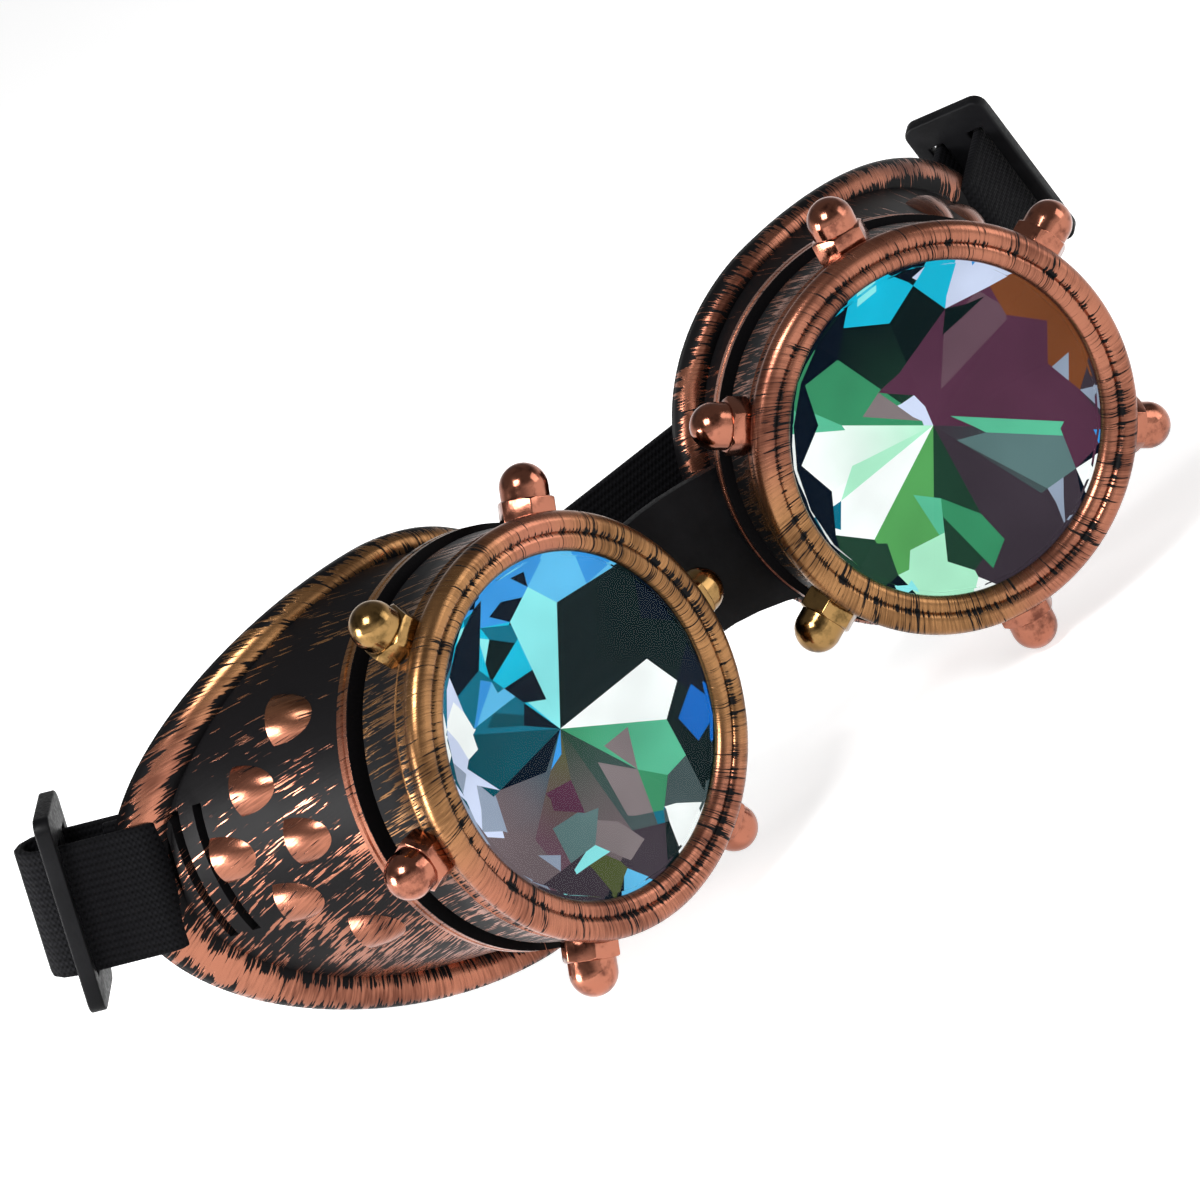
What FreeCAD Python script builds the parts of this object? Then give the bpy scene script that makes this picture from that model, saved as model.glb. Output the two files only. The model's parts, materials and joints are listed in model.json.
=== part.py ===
"""Steampunk goggles: two vented eyecups with screw-on lens rings, a soft nose bridge and a head strap.

Millimetres and degrees. X runs across the face, Y from the lenses back to the wearer and Z up. The origin
lies in the nose gap, on the plane where the two brims meet the face, at the height of the lens centres.
Each cup is drawn about its own lens axis (x away from the nose, y up, z forward, zero at the aperture)
and then turned in towards the nose. The wearer's left cup stands at +X, the right one at -X.
"""
import FreeCAD, Part
import Sketcher
import math
import os
from FreeCAD import Placement, Rotation, Vector

SIZES = {
    # where the cups stand
    "nose_gap": 8.85,
    "toe_angle": 12.5,
    "face_depth": 37.6,
    # screw-on lens ring
    "lip_hold": 2.4,
    "aperture_relief": 0.3,
    "lens_radius": 25.0,
    "lens_fit": 0.25,
    "ring_wall": 1.95,
    "skirt_depth": 12.3,
    "lip_overhang": 0.75,
    "lip_depth": 2.0,
    "outer_bead": 1.8,
    "inner_bead": 1.45,
    "shoulder_depth": 2.5,
    # acorn nuts and the studs that carry them
    "nut_count": 6,
    "nut_flats": 7.0,
    "nut_hex_height": 3.2,
    "nut_dome_radius": 3.25,
    "nut_height": 8.0,
    "nut_bore_depth": 5.0,
    "nut_depth": 6.5,
    "nut_seat_sink": 0.3,
    "nut_seat_margin": 0.3,
    "right_nut_angle": 60.5,
    "left_nut_angle": 86.6,
    "stud_radius": 2.0,
    "stud_fit": 0.05,
    "stud_reach": 4.6,
    "stud_inset": 0.3,
    # faceted crystal and its seal
    "seat_play": 0.1,
    "table_fit": 0.4,
    "table_height": 1.1,
    "girdle_height": 1.2,
    "pavilion_depth": 5.6,
    "facet_count": 12,
    "right_lens_turn": 13.5,
    "left_lens_turn": 10.8,
    "seal_width": 1.6,
    "seal_height": 1.4,
    "seal_gap": 0.6,
    # barrel and collar of the eyecup
    "thread_play": 0.1,
    "barrel_wall": 2.25,
    "collar_depth": 14.5,
    "collar_height": 2.2,
    "collar_overhang": 0.9,
    "collar_groove_height": 0.6,
    "collar_groove_depth": 0.5,
    # flared wall
    "wall": 2.0,
    "neck_step": 1.25,
    "floor_height": 1.2,
    "flare_depth": 47.3,
    "flare_spread": 2.6,
    "flare_out": 8.6,
    "flare_rise": 1.6,
    # brim that follows the face
    "brim_out_width": 13.1,
    "brim_in_width": 1.8,
    "brim_up_width": 1.5,
    "brim_down_width": 7.3,
    "brim_raise": 1.8,
    "brim_lean": 7.1,
    "face_near_depth": 26.85,
    "face_near_inset": 13.65,
    "face_curve_radius": 51.5,
    "rim_height": 3.4,
    "rim_edge": 1.0,
    # louvre vents
    "vent_middle_angle": 10.8,
    "vent_pitch_angle": 33.5,
    "vent_length": 7.6,
    "vent_mouth_radius": 4.0,
    "vent_sink": 1.9,
    "vent_skin": 0.9,
    # strap slits in the temple side of the wall
    "slit_length": 18.4,
    "slit_width": 1.5,
    "slit_raise": 4.6,
    "slit_depth": 46.3,
    "slit_step": 4.0,
    # elastic strap
    "strap_width": 18.0,
    "strap_thickness": 1.4,
    "strap_gap": 0.35,
    "strap_rise": 15.5,
    "strap_bar": 2.9,
    "strap_raise": 6.2,
    "strap_tail": 5.0,
    "strap_fold_out": 13.0,
    "strap_back_play": 0.3,
    "strap_layer_gap": 0.4,
    "strap_bend_radius": 30.0,
    "strap_straight": 14.6,
    # strap slider
    "slider_out": 11.4,
    "slider_length": 28.0,
    "slider_bar": 2.3,
    "slider_height": 2.2,
    "slider_slot_play": 0.5,
    "slider_corner": 2.0,
    # nose bridge
    "bridge_thickness": 2.0,
    "bridge_depth": 24.4,
    "bridge_bow": 2.2,
    "bridge_reach": 15.4,
    "bridge_slot_inset": 10.3,
    "bridge_bead": 1.7,
    "bridge_top": 10.0,
    "bridge_bottom": 10.4,
    "bridge_end_drop": 2.2,
    "bridge_end_spread": 1.0,
    "bridge_gap": 0.4,
    # room for every cut to run past its piece
    "overrun": 6.0,
}

# sizes that follow from those above
DERIVED = {
    "bore_radius": "=lens_radius + lens_fit",
    "skirt_radius": "=bore_radius + ring_wall",
    "lip_radius": "=skirt_radius + lip_overhang",
    "aperture_radius": "=lens_radius - lip_hold",
    "barrel_bore": "=bore_radius - thread_play - barrel_wall",
    "collar_radius": "=skirt_radius + collar_overhang",
    "neck_radius": "=bore_radius - thread_play + neck_step",
    "flare_radius": "=neck_radius + flare_spread",
    "brim_out": "=neck_radius + brim_out_width",
    "brim_in": "=neck_radius + brim_in_width",
    "brim_up": "=neck_radius + brim_up_width",
    "brim_down": "=neck_radius + brim_down_width",
    "half_spacing": "=lens_radius + nose_gap",
    "girdle_front": "=shoulder_depth + seat_play",
    "girdle_back": "=girdle_front + girdle_height",
    "seal_front": "=girdle_back + seal_gap",
    "barrel_front": "=seal_front + seal_height + seat_play / 2",
    "collar_back": "=collar_depth + collar_height",
    "strap_out": "=brim_out - strap_bar",
    "strap_slope": "=((strap_out + brim_out) / 2 + face_near_inset) / face_curve_radius",
    "layer_before": "=strap_gap + strap_thickness / 2",
    "bar_thickness": "=rim_height / sqrt(1 + strap_slope * strap_slope)",
    "layer_behind": "=-bar_thickness - strap_gap - strap_back_play - strap_thickness / 2",
    "layer_last": "=layer_behind - strap_thickness - strap_layer_gap",
    "layer_pitch": "=layer_before - layer_last",
    "slot_height": "=strap_thickness + 2 * slider_slot_play",
}

QUARTER_TURN = 90.0
FULL_TURN = 360.0
ROUND_WEIGHT = math.sqrt(0.5)

# corners of one pavilion facet, as shares of the lens radius and of the pavilion depth
KITE_SIDE_SHARE = 0.72
KITE_TIP_SHARE = 0.845
KITE_SIDE_DEPTH_SHARE = 0.31

# share of the wall's depth at which each row of louvres has its mouths, the longest row first
VENT_ROW_SHARES = (0.255, 0.395, 0.525)

# stations of a louvre from its mouth to its front end: shares of its length and of its mouth's radius
LOUVRE_SHARES = ((0, 1), (0.45, 0.9), (0.8, 0.66), (1, 0.4))
LOUVRE_SIDES = 12

# steps in the round parts of the lip and of the nuts
BEAD_STEPS = 3
DOME_STEPS = 3

# steps in each bend of the strap and along the nose bridge
FOLD_STEPS = 6
BEND_STEPS = 5
BRIDGE_STEPS = 8

doc = FreeCAD.newDocument("steampunk_goggles")
sheet = doc.addObject("Spreadsheet::Sheet", "Sheet")
for row, (alias, value) in enumerate(SIZES.items(), start=1):
    sheet.set(f"A{row}", alias)
    sheet.set(f"B{row}", str(value))
    sheet.setAlias(f"B{row}", alias)
for row, (alias, formula) in enumerate(DERIVED.items(), start=len(SIZES) + 1):
    sheet.set(f"A{row}", alias)
    sheet.set(f"B{row}", formula)
    sheet.setAlias(f"B{row}", alias)
doc.recompute()


def size(name):
    """Value of one cell of the sheet."""
    return float(sheet.get(name))


def bound(kind, name, **formulas):
    """New primitive whose properties follow formulas of the sheet; a double underscore stands for a dot."""
    piece = doc.addObject(kind, name)
    for path, formula in formulas.items():
        piece.setExpression(path.replace("__", "."), formula)
    return piece


def joined(kind, name, shapes):
    """Fuse or common of several objects."""
    piece = doc.addObject(kind, name)
    piece.Shapes = shapes
    return piece


def cut(name, base, tool):
    """Base less tool."""
    piece = doc.addObject("Part::Cut", name)
    piece.Base = base
    piece.Tool = tool
    return piece


def solid_feature(name, shape):
    """Document object that holds a shape worked out here."""
    piece = doc.addObject("Part::Feature", name)
    piece.Shape = shape
    return piece


def cup_place(side):
    """Placement of a cup's own frame: side is +1 for the wearer's left and -1 for the right."""
    toe = Rotation(Vector(0, 0, 1), -side * size("toe_angle"))
    forward = Rotation(Vector(1, 0, 0), QUARTER_TURN)
    return Placement(Vector(side * size("half_spacing"), -size("face_depth"), 0), toe.multiply(forward))


def nut_angles(side_name):
    """Angles round the lens axis of the nuts on one ring."""
    count = int(size("nut_count"))
    first = size(f"{side_name}_nut_angle")
    return [first + FULL_TURN * index / count for index in range(count)]


def radial_place(angle, radius, depth):
    """Placement that stands a piece's own z axis out from the lens axis."""
    turn = Rotation(Vector(0, 0, 1), angle).multiply(Rotation(Vector(0, 1, 0), QUARTER_TURN))
    base = Vector(radius * math.cos(math.radians(angle)), radius * math.sin(math.radians(angle)), -depth)
    return Placement(base, turn)


def flat(corners):
    """Flat face through a ring of corners."""
    return Part.Face(Part.makePolygon(corners + corners[:1]))


def closed(faces):
    """Solid whose skin is a set of flat faces."""
    shell = Part.makeShell(faces)
    shell.sewShape()
    solid = Part.makeSolid(shell)
    if solid.Volume < 0:
        solid.reverse()
    return solid


def revolved(profile):
    """Solid of revolution about the lens axis from radius and depth pairs."""
    corners = [Vector(radius, 0, -depth) for radius, depth in profile]
    return flat(corners).revolve(Vector(0, 0, 0), Vector(0, 0, 1), FULL_TURN)


def arc_pairs(middle, depth, radius, first, last, steps):
    """Radius and depth pairs along a round stretch; angles run from straight outwards to the front."""
    turns = [math.radians(first + (last - first) * step / steps) for step in range(steps + 1)]
    return [(middle + radius * math.cos(turn), depth - radius * math.sin(turn)) for turn in turns]


def copies(shape, places):
    """Compound with one copy of the shape at each placement."""
    placed = []
    for place in places:
        copy = shape.copy()
        copy.Placement = place
        placed.append(copy)
    return Part.makeCompound(placed)


# screw-on lens rings with their nuts and studs

def nut_seat_radius():
    """Distance of the flat under a nut from the lens axis."""
    return size("skirt_radius") - size("nut_seat_sink")


def nut_template():
    """Domed nut standing on the origin: hexagon, dome and blind bore."""
    hexagon = bound("Part::Prism", "nut_hexagon", Circumradius="Sheet.nut_flats / sqrt(3)",
                    Height="Sheet.nut_hex_height")
    hexagon.Polygon = 6
    dome_radius = size("nut_dome_radius")
    dome_top = size("nut_height") - dome_radius
    profile = arc_pairs(0, -dome_top, dome_radius, 0, QUARTER_TURN, DOME_STEPS)[:-1]
    profile += [(0, -size("nut_height")), (0, 0), (dome_radius, 0)]
    dome = solid_feature("nut_dome", revolved(profile))
    blank = joined("Part::MultiFuse", "nut_blank", [hexagon, dome])
    bore = bound("Part::Cylinder", "nut_bore", Radius="Sheet.stud_radius + Sheet.stud_fit",
                 Height="Sheet.nut_bore_depth")
    return cut("nut_template", blank, bore)


def stud_template():
    """Plain stud that starts inside the ring's wall and ends in the nut."""
    return bound("Part::Cylinder", "stud_template", Radius="Sheet.stud_radius",
                 Height="Sheet.ring_wall - Sheet.stud_inset - Sheet.nut_seat_sink + Sheet.stud_reach")


def nut_seat_tools(side_name):
    """Spot faces and stud holes that are cut into a ring."""
    corner = size("nut_flats") / math.sqrt(3) + size("nut_seat_margin")
    face = Part.makeCylinder(corner, size("nut_height") + size("overrun"))
    hole_length = size("ring_wall") + 2 * size("overrun")
    hole = Part.makeCylinder(size("stud_radius") + size("stud_fit"), hole_length)
    hole.translate(Vector(0, 0, -size("overrun")))
    tool = face.fuse(hole)
    places = [radial_place(angle, nut_seat_radius(), size("nut_depth")) for angle in nut_angles(side_name)]
    return solid_feature(f"{side_name}_nut_seats", copies(tool, places))


def lip_profile():
    """Front of the ring: a broad outer bead and a narrower inner one with a groove between them."""
    depth = size("lip_depth")
    outer = size("outer_bead")
    inner = size("inner_bead")
    outer_middle = size("lip_radius") - outer
    inner_middle = size("aperture_radius") + inner
    apart = outer_middle - inner_middle
    to_groove = (apart ** 2 + outer ** 2 - inner ** 2) / (2 * apart)
    start = -math.degrees(math.acos((size("skirt_radius") - outer_middle) / outer))
    outer_end = math.degrees(math.acos(-to_groove / outer))
    inner_start = math.degrees(math.acos((apart - to_groove) / inner))
    profile = arc_pairs(outer_middle, depth, outer, start, outer_end, BEAD_STEPS)
    return profile + arc_pairs(inner_middle, depth, inner, inner_start, 2 * QUARTER_TURN, BEAD_STEPS)[1:]


def lens_ring(side_name, side):
    """Threaded ring: plain skirt, lip of two rounded beads, bore for the lens and seats for the nuts."""
    bore = size("bore_radius")
    relief = size("aperture_radius") + size("aperture_relief")
    profile = [(bore, size("skirt_depth")), (size("skirt_radius"), size("skirt_depth"))] + lip_profile()
    profile += [(relief, size("lip_depth")), (relief, size("shoulder_depth")), (bore, size("shoulder_depth"))]
    blank = solid_feature(f"{side_name}_ring_blank", revolved(profile))
    ring = cut(f"{side_name}_lens_ring", blank, nut_seat_tools(side_name))
    ring.Placement = cup_place(side)
    return ring


def nut_group(side_name, side, nut):
    """The acorn nuts of one ring, as separate solids."""
    places = [radial_place(angle, nut_seat_radius(), size("nut_depth")) for angle in nut_angles(side_name)]
    group = solid_feature(f"{side_name}_acorn_nuts", copies(nut.Shape, places))
    group.Placement = cup_place(side)
    return group


def stud_group(side_name, side, stud):
    """The studs of one ring, as separate solids."""
    start = size("bore_radius") + size("stud_inset")
    places = [radial_place(angle, start, size("nut_depth")) for angle in nut_angles(side_name)]
    group = solid_feature(f"{side_name}_nut_studs", copies(stud.Shape, places))
    group.Placement = cup_place(side)
    return group


# faceted crystals and their seals

def crystal_shape():
    """Crystal with a flat raised table in front and kite facets that meet in a point behind."""
    count = int(size("facet_count"))
    step = 2 * math.pi / count
    radius = size("lens_radius")
    depth = size("pavilion_depth")
    table_share = (size("aperture_radius") - size("table_fit")) / radius
    side_reach = KITE_SIDE_SHARE * math.cos(step / 2)
    tip_depth_share = 1 - (1 - KITE_SIDE_DEPTH_SHARE) * KITE_TIP_SHARE / side_reach

    def ring_point(share, turn, back):
        reach = share * radius
        return Vector(reach * math.cos(turn), reach * math.sin(turn), -size("girdle_back") - back)

    apex = Vector(0, 0, -size("girdle_back") - depth)
    shoulder = -size("girdle_height")
    front = shoulder - size("table_height")
    table = []
    faces = []
    for index in range(count):
        turn = index * step
        tip = ring_point(KITE_TIP_SHARE, turn, tip_depth_share * depth)
        before = ring_point(KITE_SIDE_SHARE, turn - step / 2, KITE_SIDE_DEPTH_SHARE * depth)
        after = ring_point(KITE_SIDE_SHARE, turn + step / 2, KITE_SIDE_DEPTH_SHARE * depth)
        edge = ring_point(1, turn, 0)
        edge_before = ring_point(1, turn - step / 2, 0)
        edge_after = ring_point(1, turn + step / 2, 0)
        faces.append(flat([apex, before, tip, after]))
        faces.append(flat([before, edge_before, tip]))
        faces.append(flat([tip, edge_after, after]))
        faces.append(flat([tip, edge_before, edge]))
        faces.append(flat([tip, edge, edge_after]))
        for low, high in ((turn - step / 2, turn), (turn, turn + step / 2)):
            stations = ((1, 0), (1, shoulder), (table_share, shoulder), (table_share, front))
            for (near_share, near), (far_share, far) in zip(stations, stations[1:]):
                faces.append(flat([ring_point(near_share, low, near), ring_point(near_share, high, near),
                                   ring_point(far_share, high, far), ring_point(far_share, low, far)]))
            table.append(ring_point(table_share, low, front))
    faces.append(flat(table))
    return closed(faces)


def kaleidoscope_lens(side_name, side):
    """One crystal in its ring, turned about the lens axis."""
    lens = solid_feature(f"{side_name}_kaleidoscope_lens", crystal_shape())
    turn = Rotation(Vector(0, 0, 1), size(f"{side_name}_lens_turn"))
    lens.Placement = cup_place(side).multiply(Placement(Vector(0, 0, 0), turn))
    return lens


def lens_seal(side_name, side):
    """Flat rubber ring between the barrel and the crystal."""
    disc = bound("Part::Cylinder", f"{side_name}_seal_disc", Radius="Sheet.lens_radius - Sheet.lens_fit",
                 Height="Sheet.seal_height", Placement__Base__z="-Sheet.seal_front - Sheet.seal_height")
    hole = bound("Part::Cylinder", f"{side_name}_seal_hole",
                 Radius="Sheet.lens_radius - Sheet.lens_fit - Sheet.seal_width",
                 Height="Sheet.seal_height + 2 * Sheet.overrun",
                 Placement__Base__z="-Sheet.seal_front - Sheet.seal_height - Sheet.overrun")
    seal = cut(f"{side_name}_lens_seal", disc, hole)
    seal.Placement = cup_place(side)
    return seal


# eyecups

def cup_length():
    """Depth that takes in the whole cup."""
    return size("collar_back") + size("flare_depth") + size("overrun")


def face_curve_depth(out):
    """Depth of the brim's front at a distance out from the lens axis."""
    return size("face_near_depth") + (out + size("face_near_inset")) ** 2 / (2 * size("face_curve_radius"))


def face_curve_slope(out):
    """Slope of the brim's front at a distance out from the lens axis."""
    return (out + size("face_near_inset")) / size("face_curve_radius")


def face_edge(back):
    """Upright curve that the brim follows, moved back by a depth."""
    near = -size("brim_in") - size("overrun")
    far = size("brim_out") + size("overrun")
    middle = (near + far) / 2
    middle_depth = face_curve_depth(near) + face_curve_slope(near) * (middle - near)
    curve = Part.BezierCurve()
    curve.setPoles([Vector(near, 0, -face_curve_depth(near) - back), Vector(middle, 0, -middle_depth - back),
                    Vector(far, 0, -face_curve_depth(far) - back)])
    return curve.toShape()


def straight_edge(depth):
    """Edge straight across the cup at one depth, as wide as the face curve."""
    near = -size("brim_in") - size("overrun")
    far = size("brim_out") + size("overrun")
    return Part.LineSegment(Vector(near, 0, -depth), Vector(far, 0, -depth)).toShape()


def face_slab(front_edge, back_edge):
    """Upright slab between two edges of the same width."""
    height = 2 * (size("brim_down") + size("brim_up"))
    first = Part.LineSegment(front_edge.Vertexes[0].Point, back_edge.Vertexes[0].Point).toShape()
    last = Part.LineSegment(back_edge.Vertexes[-1].Point, front_edge.Vertexes[-1].Point).toShape()
    outline = Part.Wire(Part.__sortEdges__([front_edge, first, back_edge, last]))
    slab = Part.Face(outline).extrude(Vector(0, height, 0))
    slab.translate(Vector(0, -height / 2, 0))
    return slab


def brim_prism():
    """Oval outline of the brim carried back through its whole depth."""
    reaches = [size(f"brim_{way}") for way in ("out", "up", "in", "down")]
    ways = [Vector(1, 0, 0), Vector(0, 1, 0), Vector(-1, 0, 0), Vector(0, -1, 0)]
    ends = [way * reach for way, reach in zip(ways, reaches)]
    turn = Placement(Vector(0, size("brim_raise"), 0), Rotation(Vector(0, 0, 1), size("brim_lean")))
    edges = []
    for index in range(len(ends)):
        start = ends[index]
        stop = ends[(index + 1) % len(ends)]
        quarter = Part.BezierCurve()
        quarter.setPoles([turn.multVec(start), turn.multVec(start + stop), turn.multVec(stop)])
        quarter.setWeight(2, ROUND_WEIGHT)
        edges.append(quarter.toShape())
    return Part.Face(Part.Wire(edges)).extrude(Vector(0, 0, -cup_length()))


def brim():
    """Plate that follows the face, with softened edges; its inside is opened later by the hollow."""
    slab = face_slab(face_edge(0), face_edge(size("rim_height")))
    plate = slab.common(brim_prism()).Solids[0]
    long_edges = [edge for edge in plate.Edges if edge.Length > 2 * size("rim_height")]
    return plate.makeChamfer(size("rim_edge"), long_edges)


def flare_axis():
    """Direction in which the flared wall widens, leaning towards the temple and a little upwards."""
    return Vector(size("flare_out"), size("flare_rise"), -size("flare_depth"))


def flare_cone(inset):
    """Solid leaning cone of the wall, drawn in by an inset and run on past both ends."""
    axis = flare_axis()
    length = axis.Length
    growth = (size("flare_radius") - size("neck_radius")) / length
    before = size("collar_back")
    direction = Vector(axis).normalize()
    start = Vector(0, 0, -size("collar_back")) - direction * before
    near = size("neck_radius") - inset - growth * before
    far = size("flare_radius") - inset + growth * size("overrun")
    return Part.makeCone(near, far, length + before + size("overrun"), start, direction)


def behind(depth):
    """Everything of the cup that lies behind a depth."""
    reach = size("brim_out") + size("brim_in") + size("overrun")
    box = Part.makeBox(2 * reach, 2 * reach, cup_length())
    box.translate(Vector(-reach, -reach, -depth - cup_length()))
    return box


def barrel_and_collar():
    """Threaded barrel with the grooved collar that the ring stops at."""
    bore = size("barrel_bore")
    barrel = size("bore_radius") - size("thread_play")
    collar = size("collar_radius")
    groove = collar - size("collar_groove_depth")
    front = size("collar_depth")
    back = size("collar_back")
    ridge = (size("collar_height") - size("collar_groove_height")) / 2
    floor = back + size("floor_height")
    profile = [(bore, size("barrel_front")), (barrel, size("barrel_front")), (barrel, front), (collar, front),
               (collar, front + ridge), (groove, (front + back) / 2), (collar, back - ridge),
               (collar, back), (barrel, back), (barrel, floor), (bore, floor)]
    return revolved(profile)


def wall_point(angle, share):
    """Point of the wall's outside at an angle round the lens axis and a share of its depth."""
    turn = math.radians(angle)
    radius = size("neck_radius") + (size("flare_radius") - size("neck_radius")) * share
    middle = Vector(0, 0, -size("collar_back")) + flare_axis() * share
    return middle + Vector(radius * math.cos(turn), radius * math.sin(turn), 0)


def vent_spots():
    """Angle and share of the wall's depth of every louvre's mouth, in rows that each hold one fewer."""
    rows = len(VENT_ROW_SHARES)
    spots = []
    for row, share in enumerate(VENT_ROW_SHARES):
        count = rows - row
        for index in range(count):
            angle = size("vent_middle_angle") + size("vent_pitch_angle") * (index - (count - 1) / 2)
            spots.append((angle, share))
    return spots


def louvre(angle, share, inset):
    """Scoop on the wall with its mouth to the rear; with an inset it is the hollow inside."""
    mouth = wall_point(angle, share)
    along = (wall_point(angle, 1) - wall_point(angle, 0)).normalize()
    outward = Vector(math.cos(math.radians(angle)), math.sin(math.radians(angle)), 0)
    outward = (outward - along * outward.dot(along)).normalize()
    across = along.cross(outward)
    turns = [2 * math.pi * side / LOUVRE_SIDES for side in range(LOUVRE_SIDES)]
    rings = []
    for along_share, radius_share in LOUVRE_SHARES:
        radius = size("vent_mouth_radius") * radius_share - inset
        middle = mouth - along * (size("vent_length") * along_share - inset) - outward * size("vent_sink")
        spokes = [across * math.cos(turn) + outward * math.sin(turn) for turn in turns]
        rings.append([middle + spoke * radius for spoke in spokes])
    faces = [flat(rings[0]), flat(rings[-1])]
    for near, far in zip(rings, rings[1:]):
        for side in range(LOUVRE_SIDES):
            after = (side + 1) % LOUVRE_SIDES
            faces.append(flat([near[side], near[after], far[after], far[side]]))
    return closed(faces)


def strap_frame():
    """Strap end in the left cup's frame: start point, run outwards, across and out of the brim's face."""
    out = size("strap_out")
    slope = math.atan(size("strap_slope"))
    rise = math.radians(size("strap_rise"))
    level = Vector(math.cos(slope), 0, -math.sin(slope))
    upright = Vector(0, 1, 0)
    run = level * math.cos(rise) + upright * math.sin(rise)
    across = upright * math.cos(rise) - level * math.sin(rise)
    normal = Vector(math.sin(slope), 0, math.cos(slope))
    start = Vector(out, size("strap_raise"), -face_curve_depth(out))
    return start, run, across, normal


def strap_box(low, high, below, above):
    """Box across the strap's end: from low to high along its run and from below to above the brim's face."""
    start, run, across, normal = strap_frame()
    wide = size("strap_width") + 2 * size("strap_gap")
    box = Part.makeBox(wide, above - below, high - low)
    corner = start + run * low + normal * below - across * (wide / 2)
    box.Placement = Placement(corner, Rotation(across, normal, run, "ZXY"))
    return box


def slit_tools():
    """Two open slits in the wall and, behind them, the slot in the brim that the strap passes through."""
    reach = size("brim_out") + size("overrun")
    tools = []
    for index in range(2):
        depth = size("slit_depth") - index * size("slit_step")
        low = size("slit_raise") - size("slit_length") / 2
        slit = Part.makeBox(reach / 2, size("slit_length"), size("slit_width"))
        slit.translate(Vector(reach / 2, low, -depth - size("slit_width") / 2))
        tools.append(slit)
    turn_radius = (size("layer_before") - size("layer_behind")) / 2
    clear = size("strap_thickness") / 2 + size("strap_gap")
    above = size("layer_before") + clear
    tools.append(strap_box(-turn_radius - clear, -size("strap_gap"), size("layer_last"), above))
    tools.append(strap_box(-turn_radius, size("overrun"), 0, above))
    return tools


def bridge_slot():
    """Slot in the nose side of the left cup's wall that the bridge's end passes through."""
    thick = 2 * (size("bridge_bead") + size("bridge_gap"))
    top = size("bridge_top") - size("bridge_end_drop") + size("bridge_end_spread") + size("bridge_gap")
    bottom = size("bridge_bottom") + size("bridge_end_drop") + size("bridge_end_spread") + size("bridge_gap")
    box = Part.makeBox(size("bridge_reach"), thick, top + bottom)
    middle = size("bridge_depth") - size("face_depth")
    box.translate(Vector(size("bridge_reach") - size("bridge_slot_inset"), middle - thick / 2, -bottom))
    return box.transformGeometry(cup_place(1).inverse().toMatrix())


def eyecup_shape():
    """Left eyecup in its own frame: barrel, collar, flared wall, brim, louvres, slits and nose slot."""
    floor = size("collar_back") + size("floor_height")
    collar_middle = (size("collar_depth") + size("collar_back")) / 2
    ahead = face_slab(straight_edge(collar_middle), face_edge(size("rim_height") / 2))
    wall = flare_cone(0).common(ahead)
    louvres = [louvre(angle, share, 0) for angle, share in vent_spots()]
    shape = wall.fuse(louvres + [brim(), barrel_and_collar()])
    hollow = flare_cone(size("wall")).common(behind(floor))
    bore_back = floor + size("floor_height")
    bore = Part.makeCylinder(size("barrel_bore"), bore_back, Vector(0, 0, -bore_back))
    mouths = [louvre(angle, share, size("vent_skin")) for angle, share in vent_spots()]
    shape = shape.cut([hollow, bore, bridge_slot()] + mouths + slit_tools()).removeSplitter()
    return max(shape.Solids, key=lambda solid: solid.Volume)


# soft band pieces

def band(points, acrosses, half_widths, thickness):
    """Flat band through section centres; each section lies square to the path."""
    sections = []
    last = len(points) - 1
    for index, point in enumerate(points):
        along = (points[min(index + 1, last)] - points[max(index - 1, 0)]).normalize()
        across = (acrosses[index] - along * acrosses[index].dot(along)).normalize()
        half = along.cross(across) * (thickness / 2)
        low, high = half_widths[index]
        corners = [point + across * high + half, point + across * high - half,
                   point - across * low - half, point - across * low + half]
        sections.append(Part.makePolygon(corners + [corners[0]]))
    return Part.makeLoft(sections, True, True)


def strap_end_points():
    """Left end of the strap in the object's frame, from its sewn tail round the brim and the slider's bar."""
    start, run, across, normal = strap_frame()
    front, middle, back = (size(f"layer_{layer}") for layer in ("before", "behind", "last"))
    fold = size("strap_fold_out")

    def half_turn(centre_out, high, low, way):
        radius = (high - low) / 2
        level = (high + low) / 2
        turns = [math.pi * step / FOLD_STEPS - math.pi / 2 for step in range(FOLD_STEPS + 1)]
        return [(centre_out + way * radius * math.cos(turn), level - way * radius * math.sin(turn))
                for turn in turns]

    route = [(size("strap_tail"), middle)]
    route += half_turn(0, front, middle, -1)
    route += half_turn(fold, front, back, 1)
    route.append((fold - size("strap_straight"), back))
    place = cup_place(1)
    points = [place.multVec(start + run * out + normal * off) for out, off in route]
    return points, place.Rotation.multVec(across), place.Rotation.multVec(run)


def strap_shape():
    """Whole strap: both ends and the stretch behind the cups."""
    points, across, run = strap_end_points()
    acrosses = [across] * len(points)
    level = Vector(run.x, run.y, 0)
    turn = math.atan2(level.y, level.x)
    rise = run.z / level.Length
    radius = size("strap_bend_radius")
    corner = points[-1]
    for step in range(1, BEND_STEPS + 1):
        angle = turn * step / BEND_STEPS
        gone = radius * angle
        drop = rise * (gone - gone * angle / (2 * turn))
        inward = radius * (math.sin(turn) - math.sin(turn - angle))
        forward = radius * (math.cos(turn - angle) - math.cos(turn))
        points.append(Vector(corner.x - inward, corner.y - forward, corner.z - drop))
        acrosses.append(Vector(0, 0, 1))
    other_points = [Vector(-point.x, point.y, point.z) for point in reversed(points)]
    other_acrosses = [Vector(-lean.x, lean.y, lean.z) for lean in reversed(acrosses)]
    half = size("strap_width") / 2
    widths = [(half, half)] * (2 * len(points))
    return band(points + other_points, acrosses + other_acrosses, widths, size("strap_thickness"))


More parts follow.
